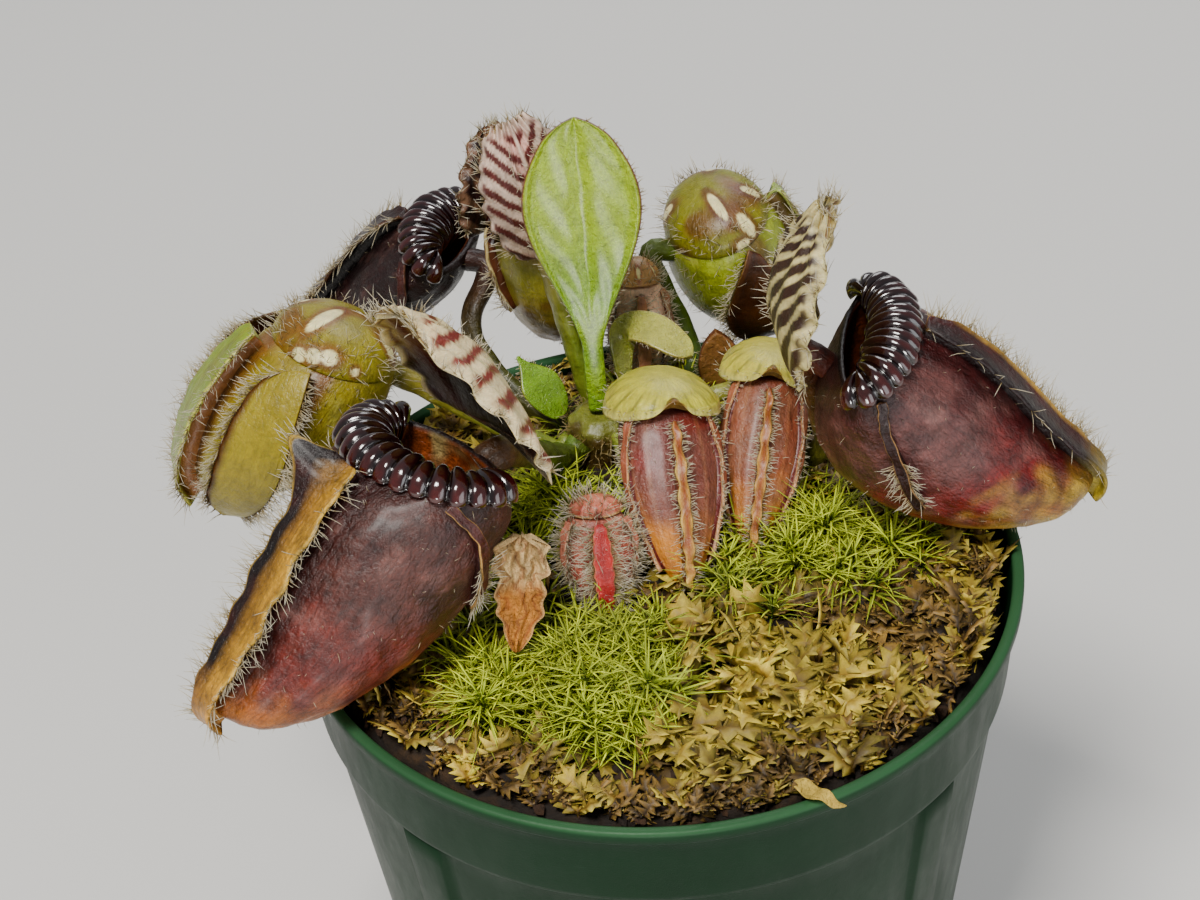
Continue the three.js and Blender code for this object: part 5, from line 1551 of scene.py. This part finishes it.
# Places and radii that the plant's own parts stand in, where no moss grows up through them.
OBSTACLES = [
    ((-5, 18.5), 4.4), ((3, -1), 2.2), ((10.4, 2), 2.0), ((-5.6, -2), 1.6), ((-5.6, 4.6), 1.6),
    ((9.2, 27), 2.0),
]
SOIL_REACH = 35.3


def free_places(count, random, zone):
    """Seeded places on the soil that the zone keeps, clear of the crown and the stalks."""
    places = []
    while len(places) < count:
        x, y = random.uniform(-35.4, 35.4, 2)
        if math.hypot(x, y) > SOIL_REACH or not zone(x, y, random):
            continue
        if any(math.hypot(x - cx, y - cy) < r for (cx, cy), r in OBSTACLES):
            continue
        places.append((x, y))
    return np.array(places)


def shoots(build, places, heights, spec, colours, tips, seed):
    """Star moss: short stems with leaves spiralling up them, opening outward."""
    random = np.random.default_rng(seed)
    n, leaves = len(places), spec["leaves"]
    who = np.repeat(np.arange(n), leaves)
    total = n * leaves
    x, y = places.T
    roots = np.stack([x, y, ground(x, y)], -1)
    heads = unit(np.stack([random.normal(0, 0.35, n), random.normal(0, 0.35, n), np.ones(n)], -1))
    heights = heights * random.uniform(0.55, 1.4, n)
    length = spec["length"] * random.uniform(0.7, 1.25, n)[who]
    build.spikes(roots - heads * 0.6, heads, random.normal(0, 1, (n, 3)), heights + 0.5, 0.13, 0 * heads,
                 colours * 0.5, colours, form=(1, 0.9, 0.7))
    k = np.tile(np.arange(leaves), n)
    share = (k + 0.5) / leaves
    turn = k * GOLDEN_ANGLE + random.uniform(0, 6.28, n)[who] + random.normal(0, 0.2, total)
    stem = heads[who]
    a = unit(np.cross(stem, np.array([0.3, 1.0, 0.1])))
    b = np.cross(stem, a)
    outward = a * np.cos(turn)[:, None] + b * np.sin(turn)[:, None]
    tilt = (1.1 * (1 - 0.75 * share ** 1.5) + random.normal(0, 0.12, total))[:, None]
    head = unit(stem * np.cos(tilt) + outward * np.sin(tilt))
    start = roots[who] + stem * (heights[who] * lerp(0.25, 1.0, share))[:, None]
    size = length * random.uniform(0.75, 1.2, total) * lerp(0.8, 1.0, np.sin(math.pi * share))
    bend = outward * 0.75 * 0.7 - stem * 0.75 * 0.5
    # Leaves low on each stem are painted darker: painted shade within the tuft; each also varies at random.
    shade = random.uniform(0.75, 1.15, (total, 1)) * lerp(0.4, 1.0, share)[:, None]
    build.spikes(start, head, np.cross(head, stem), size, spec["width"], bend, colours[who] * shade * 0.6,
                 tips[who] * np.minimum(shade * 1.1, 1.2), flat=0.5, form=(0.6, 1.0, 0.7))


# Each cushion's middle and reach; the first word of its name is its kind.
TUFTS = {
    "star_moss_front": (-6.2, -19.4, 7.6), "star_moss_front_left": (-16.4, -19.4, 4.0),
    "star_moss_right": (17.4, -1.8, 4.8), "star_moss_centre": (-10.6, 7.2, 3.0),
    "lobed_moss_right": (14, -20.6, 7.4), "lobed_moss_front": (2.4, -28.4, 4.6),
    "lobed_moss_middle": (4.8, -13.4, 3.6), "brown_moss_right": (27, -12.4, 5.0),
    "brown_moss_back": (21, 20, 6.0),
}
# The share per square millimetre, and the form and colours of each kind.
KINDS = {
    "star": dict(slot="bright_moss", per=0.3, height=2.4, leaves=28, length=4.2, width=0.15,
                 main=rgb(122, 158, 12), tip=rgb(232, 242, 78)),
    "lobed": dict(slot="olive_moss", per=0.19, fronds=5, length=4.8, main=rgb(158, 124, 22),
                  tip=rgb(246, 226, 104)),
    "brown": dict(slot="brown_moss", per=0.2, fronds=4, length=3.8, main=rgb(82, 58, 24),
                  tip=rgb(196, 162, 86)),
}
# Half of a frond's lobed outline from its foot up, and where each place meets the midrib.
FROND_EDGE = [(0.04, 0.0), (0.1, 0.12), (0.37, 0.31), (0.16, 0.34), (0.44, 0.58), (0.15, 0.57), (0.31, 0.82),
              (0.08, 0.77)]
FROND_RIB = [0.0, 0.1, 0.2, 0.33, 0.42, 0.56, 0.64, 0.76]


def frond_form():
    """Places and faces of one frond of length 1: a thin closed plate with a raised midrib."""
    n = len(FROND_EDGE)
    near = [(x, y, 0) for x, y in FROND_EDGE]
    far = [(-x, y, 0) for x, y in FROND_EDGE]
    top = [(0, y, 0.035) for y in FROND_RIB]
    low = [(0, y, -0.02) for y in FROND_RIB]
    tip = 4 * n
    quads = []
    for a in range(n - 1):
        b, c, d = n + a, 2 * n + a, 3 * n + a
        quads += [(c, a, a + 1, c + 1), (b, c, c + 1, b + 1), (a, d, d + 1, a + 1), (d, b, b + 1, d + 1)]
    a, b, c, d = n - 1, 2 * n - 1, 3 * n - 1, 4 * n - 1
    tris = [(c, a, tip), (b, c, tip), (a, d, tip), (d, b, tip), (2 * n, 3 * n, 0), (2 * n, n, 3 * n)]
    return np.array(near + far + top + low + [(0, 1, 0)], float), np.array(quads), np.array(tris)


def fronds(build, places, base, spec, colours, tips, seed):
    """Leafy moss: stems, and lobed fronds that spread from each, turned inward by the rim."""
    random = np.random.default_rng(seed)
    who = np.repeat(np.arange(len(places)), spec["fronds"])
    n = len(who)
    turn = random.uniform(0, 2 * math.pi, n)
    x, y = places[who].T
    head = np.stack([np.cos(turn), np.sin(turn), random.normal(0.75, 0.4, n)], -1)
    outward = unit(np.stack([x, y, 0 * x], -1))
    by_rim = smooth(np.hypot(x, y), 26, 32)
    reach = np.maximum((head * outward).sum(1), 0) + 0.15
    head = unit(head - outward * (by_rim * reach)[:, None] + (0, 0, 0.1))
    root = np.stack([x, y, base[who] + random.uniform(-0.5, 0.8, n)], -1)
    foot = np.stack([x, y, ground(x, y) - 0.6], -1)
    build.spikes(foot, root - foot + (0, 0, 0.01), np.array([[1.0, 0, 0]]), root[:, 2] - foot[:, 2] + 0.4,
                 0.2, 0 * root, colours[who] * 0.3, colours[who] * 0.5)
    side = unit(np.cross(head, (0, 0, 1.0)) + random.normal(0, 0.3, (n, 3)))
    over = unit(np.cross(side, head))
    side = np.cross(head, over)
    size = spec["length"] * random.uniform(0.45, 1.3, n) * (1 - 0.3 * by_rim)
    form, quads, tris = frond_form()
    u = form[:, 0] * random.uniform(0.5, 1.05, (n, 1)) + random.normal(0, 0.03, (n, len(form)))
    v = form[:, 1] + random.normal(0, 0.02, (n, len(form)))
    curl, fold = random.uniform(0.1, 1.0, (n, 1)), random.normal(0.6, 0.9, (n, 1))
    w = form[:, 2] + fold * u ** 2 - curl * v ** 2 + random.normal(0, 0.008, (n, len(form)))
    verts = root[:, None] + size[:, None, None] * (
        side[:, None] * u[..., None] + head[:, None] * v[..., None] + over[:, None] * w[..., None])
    shade = random.uniform(0.45, 1.15, (n, 1, 1))
    pale = smooth(np.abs(form[:, 0]) * 1.5 + 0.45 * form[:, 1], 0.1, 0.8)[:, None]
    tint = lerp(colours[who][:, None] * 0.75, tips[who][:, None], pale) * shade
    at = (np.arange(n) * len(form))[:, None, None]
    faces = [(quads + at).reshape(-1, 4), (tris + at).reshape(-1, 3)]
    build.add(verts.reshape(-1, 3), faces, tint.reshape(-1, 3), check=False)


def grow(build, kind, places, dome, seed):
    """Moss of one kind at the places, raised on a cushion of the given height."""
    spec = KINDS[kind]
    random = np.random.default_rng(seed)
    flat = np.concatenate([places, 0 * places[:, :1]], axis=1)
    vary = random.uniform(0.6, 1.15, (len(places), 1)) * (1 + 0.3 * noise(flat, 5.0, 3))[:, None]
    colours, tips = spec["main"] * vary, spec["tip"] * vary
    if kind == "star":
        shoots(build, places, spec["height"] + dome, spec, colours, tips, seed + 1)
    else:
        fronds(build, places, ground(*places.T) + 0.4 + dome, spec, colours, tips, seed + 1)


def tuft(name, x, y, reach, seed):
    """One cushion: a lumpy heart, painted near-black as shade between the shoots, with moss growing out of
    it.
    """
    kind = name.split("_")[0]
    spec = KINDS[kind]
    random = np.random.default_rng(seed)
    count = int(spec["per"] * math.pi * reach ** 2)
    share = np.sqrt((np.arange(count) + 0.5) / count)
    turn = np.arange(count) * GOLDEN_ANGLE + random.normal(0, 0.3, count)
    places = np.array([x, y]) + ring(reach * share, turn, 0)[:, :2]
    places += random.normal(0, 0.4, places.shape)
    build = Build()
    grow(build, kind, places, (reach * 0.2) * (1 - share ** 2), seed + 5)
    a, s = np.meshgrid(turns(40), np.linspace(0.05, 1, 12))
    flat = np.array([x, y, 0]) + ring(s * reach * 0.86, a, 0)
    px, py = flat[..., 0], flat[..., 1]
    dome = (reach * 0.18 + 0.4) * np.sqrt(np.maximum(1 - s ** 2, 0))
    rows = np.stack([px, py, ground(px, py) + 0.3 + dome + 0.35 * noise(flat, 1.0, seed)], -1)
    under = rows[::-1][::4].copy()
    under[..., 2] = soil_top(under[..., 0], under[..., 1]) + 0.2
    # The heart's dark colour is painted shade.
    build.loft(np.concatenate([rows, under]), spec["main"] * 0.22)
    build.make(f"{name}_leaves", MOSS, spec["slot"], [name])


for index, (name, (x, y, reach)) in enumerate(TUFTS.items()):
    tuft(name, x, y, reach, 1300 + 7 * index)

# Round patches of loose moss, each with its middle and its reach.
BRIGHT = [(-6.2, -17, 9), (-17, -15, 6), (17, 0, 7), (-9, 8, 6), (9, -6, 5), (22, -2, 5), (4, 8, 6),
          (-20, 0, 8), (0, 28, 9)]
OLIVE = [(14, -22, 10), (2, -28, 9), (5, -13, 6), (-20, -24, 6), (22, 8, 8), (-28, 6, 8), (-20, 20, 8)]
BROWN = [(27, -12, 9), (33, -4, 7), (24, -20, 7), (-28, -14, 6), (26, 16, 9), (8, 30, 8), (-26, 14, 8)]
BARE = [(-1, -31, 3.0), (-8, -30, 2.4), (6, -31, 2.2)]


def patch(x, y, places):
    """How strongly a place belongs to the given round patches."""
    return max(math.exp(-((x - px) ** 2 + (y - py) ** 2) / r ** 2) for px, py, r in places)


def cover(name, seed, count, patches, kind):
    """Looser moss between the cushions, of one kind."""
    def zone(x, y, random):
        draw = random.uniform()
        if patch(x, y, BARE) > 0.5 and draw < 0.85:
            return False
        if kind == "star":
            return math.hypot(x, y) < 31 and draw < patch(x, y, patches)
        by_rim = smooth(math.hypot(x, y), 29, 32)
        return draw < max(patch(x, y, patches) * 0.75 + 0.05, by_rim)

    places = free_places(count, np.random.default_rng(seed), zone)
    build = Build()
    grow(build, kind, places, np.full(len(places), -0.3), seed + 5)
    build.make(name, MOSS, KINDS[kind]["slot"])


cover("bright_moss_cover", 1501, 150, BRIGHT, "star")
cover("olive_moss_cover", 1502, 240, OLIVE, "lobed")
cover("brown_moss_cover", 1503, 640, BROWN, "brown")


def icosahedron():
    """Corners on a sphere of radius 1, and faces that look outward."""
    golden = (1 + math.sqrt(5)) / 2
    corners = [c for a in (-1, 1) for b in (-golden, golden) for c in ((0, a, b), (a, b, 0), (b, 0, a))]
    corners = unit(np.array(corners, float))
    far = np.linalg.norm(corners[:, None] - corners[None], axis=-1) > 1.2
    faces = []
    for i in range(12):
        for j in range(i + 1, 12):
            for k in range(j + 1, 12):
                if far[i, j] or far[j, k] or far[i, k]:
                    continue
                normal = np.cross(corners[j] - corners[i], corners[k] - corners[i])
                faces.append((i, j, k) if normal @ corners[i] > 0 else (i, k, j))
    return corners, np.array(faces)


def grains():
    """Crumbs of peat, bark and perlite among the moss."""
    build = Build()
    random = np.random.default_rng(1601)
    places = free_places(1500, random, lambda x, y, r: r.uniform() < 0.35 + patch(x, y, BARE))
    corners, faces = icosahedron()
    n = len(places)
    size = random.uniform(0.25, 0.95, n) ** 1.3
    shape = corners * random.uniform(0.6, 1.15, (n, 12, 1)) * size[:, None, None]
    shape = shape * random.uniform(0.6, 1.5, (n, 1, 3))
    x, y = places.T
    heart = np.stack([x, y, ground(x, y) + random.uniform(-0.1, 0.5, n)], -1)
    faces = (faces + (np.arange(n) * 12)[:, None, None]).reshape(-1, 3)
    pale = (random.uniform(size=n) < 0.02)[:, None]
    colour = np.where(pale, rgb(190, 178, 140), rgb(74, 52, 30) * random.uniform(0.4, 1.7, (n, 1)))
    build.add((shape + heart[:, None]).reshape(-1, 3), [faces], np.repeat(colour, 12, axis=0), check=False)
    build.make("peat_crumbs", PEAT, "growing_mix", smooth_shade=False)


grains()


def scrap(name, centre, size, colour, lift=None):
    """A thin dry scrap that lies on the litter, or over the pot's rim where it has no lift."""
    a, s = np.meshgrid(turns(48), np.linspace(0.08, 1, 10))
    wavy = 1 + 0.15 * np.sin(3 * a + 1) + 0.08 * np.sin(7 * a)
    u, v = s * size[0] * wavy * np.cos(a), s * size[1] * wavy * np.sin(a)
    heading = math.radians(-38)
    x = centre[0] + u * math.cos(heading) - v * math.sin(heading)
    y = centre[1] + u * math.sin(heading) + v * math.cos(heading)
    base = 0.45 if lift is None else ground(x, y) + lift
    z = base + 0.25 * np.sin(2.2 * u) + 0.3 * (v / size[1]) ** 2
    half = 0.16 * np.sqrt(np.maximum(1 - s ** 6, 0))
    build = Build()
    build.loft(np.concatenate([np.stack([x, y, z + half], -1), np.stack([x, y, z - half], -1)[::-1]]), colour)
    build.make(name, DRY, "dried_leaf")


scrap("pale_flake", (-21.6, -24.6), (1.7, 1.1), rgb(216, 202, 150), lift=0.9)
scrap("yellow_scrap", (13.6, -34.6), (2.6, 0.9), rgb(196, 172, 88))

# ---- Floor and light ----------------------------------------------------------------------

# Each lamp's name, place, size, power and colour; all of them face the plant's middle.
LAMPS = (
    ("key", (-0.14, -0.26, 0.72), 0.2, 7.0, (1.0, 0.97, 0.92)),
    ("fill", (0.5, -0.6, 0.22), 0.5, 2.4, (0.94, 0.97, 1.0)),
    ("front", (-0.02, -0.62, 0.1), 0.11, 1.3, (1.0, 0.99, 0.96)),
    ("back", (0.15, 0.60, 0.55), 0.4, 2.4, (1.0, 1.0, 1.0)),
)
PLANT_MIDDLE = Vector((0, 0, 0.08))


def studio():
    """A plain pale floor and soft light."""
    bpy.ops.mesh.primitive_plane_add(size=6, location=(0, 0, 0))
    floor = bpy.context.object
    floor.name = "floor"
    g = Graph("floor_paint")
    tone = g.grain(g.node("ShaderNodeTexCoord").outputs["Object"], 3.0, 2, 0.5)
    paint = g.mix(g.ramp(tone, 0, 1), (0.62, 0.61, 0.59, 1), (0.66, 0.65, 0.63, 1))
    g.set(Base_Color=paint, Roughness=0.9)
    floor.data.materials.append(g.material)
    world = bpy.data.worlds.new("studio")
    bpy.context.scene.world = world
    world.use_nodes = True
    sky = world.node_tree.nodes["Background"].inputs
    sky["Color"].default_value = (0.9, 0.95, 1.0, 1)
    sky["Strength"].default_value = 0.3
    for name, place, size, power, colour in LAMPS:
        light = bpy.data.lights.new(name, "AREA")
        light.energy = power
        light.size = size
        light.color = colour
        lamp = bpy.data.objects.new(name, light)
        lamp.location = place
        lamp.rotation_euler = (PLANT_MIDDLE - Vector(place)).to_track_quat("-Z", "Y").to_euler()
        bpy.context.collection.objects.link(lamp)


studio()
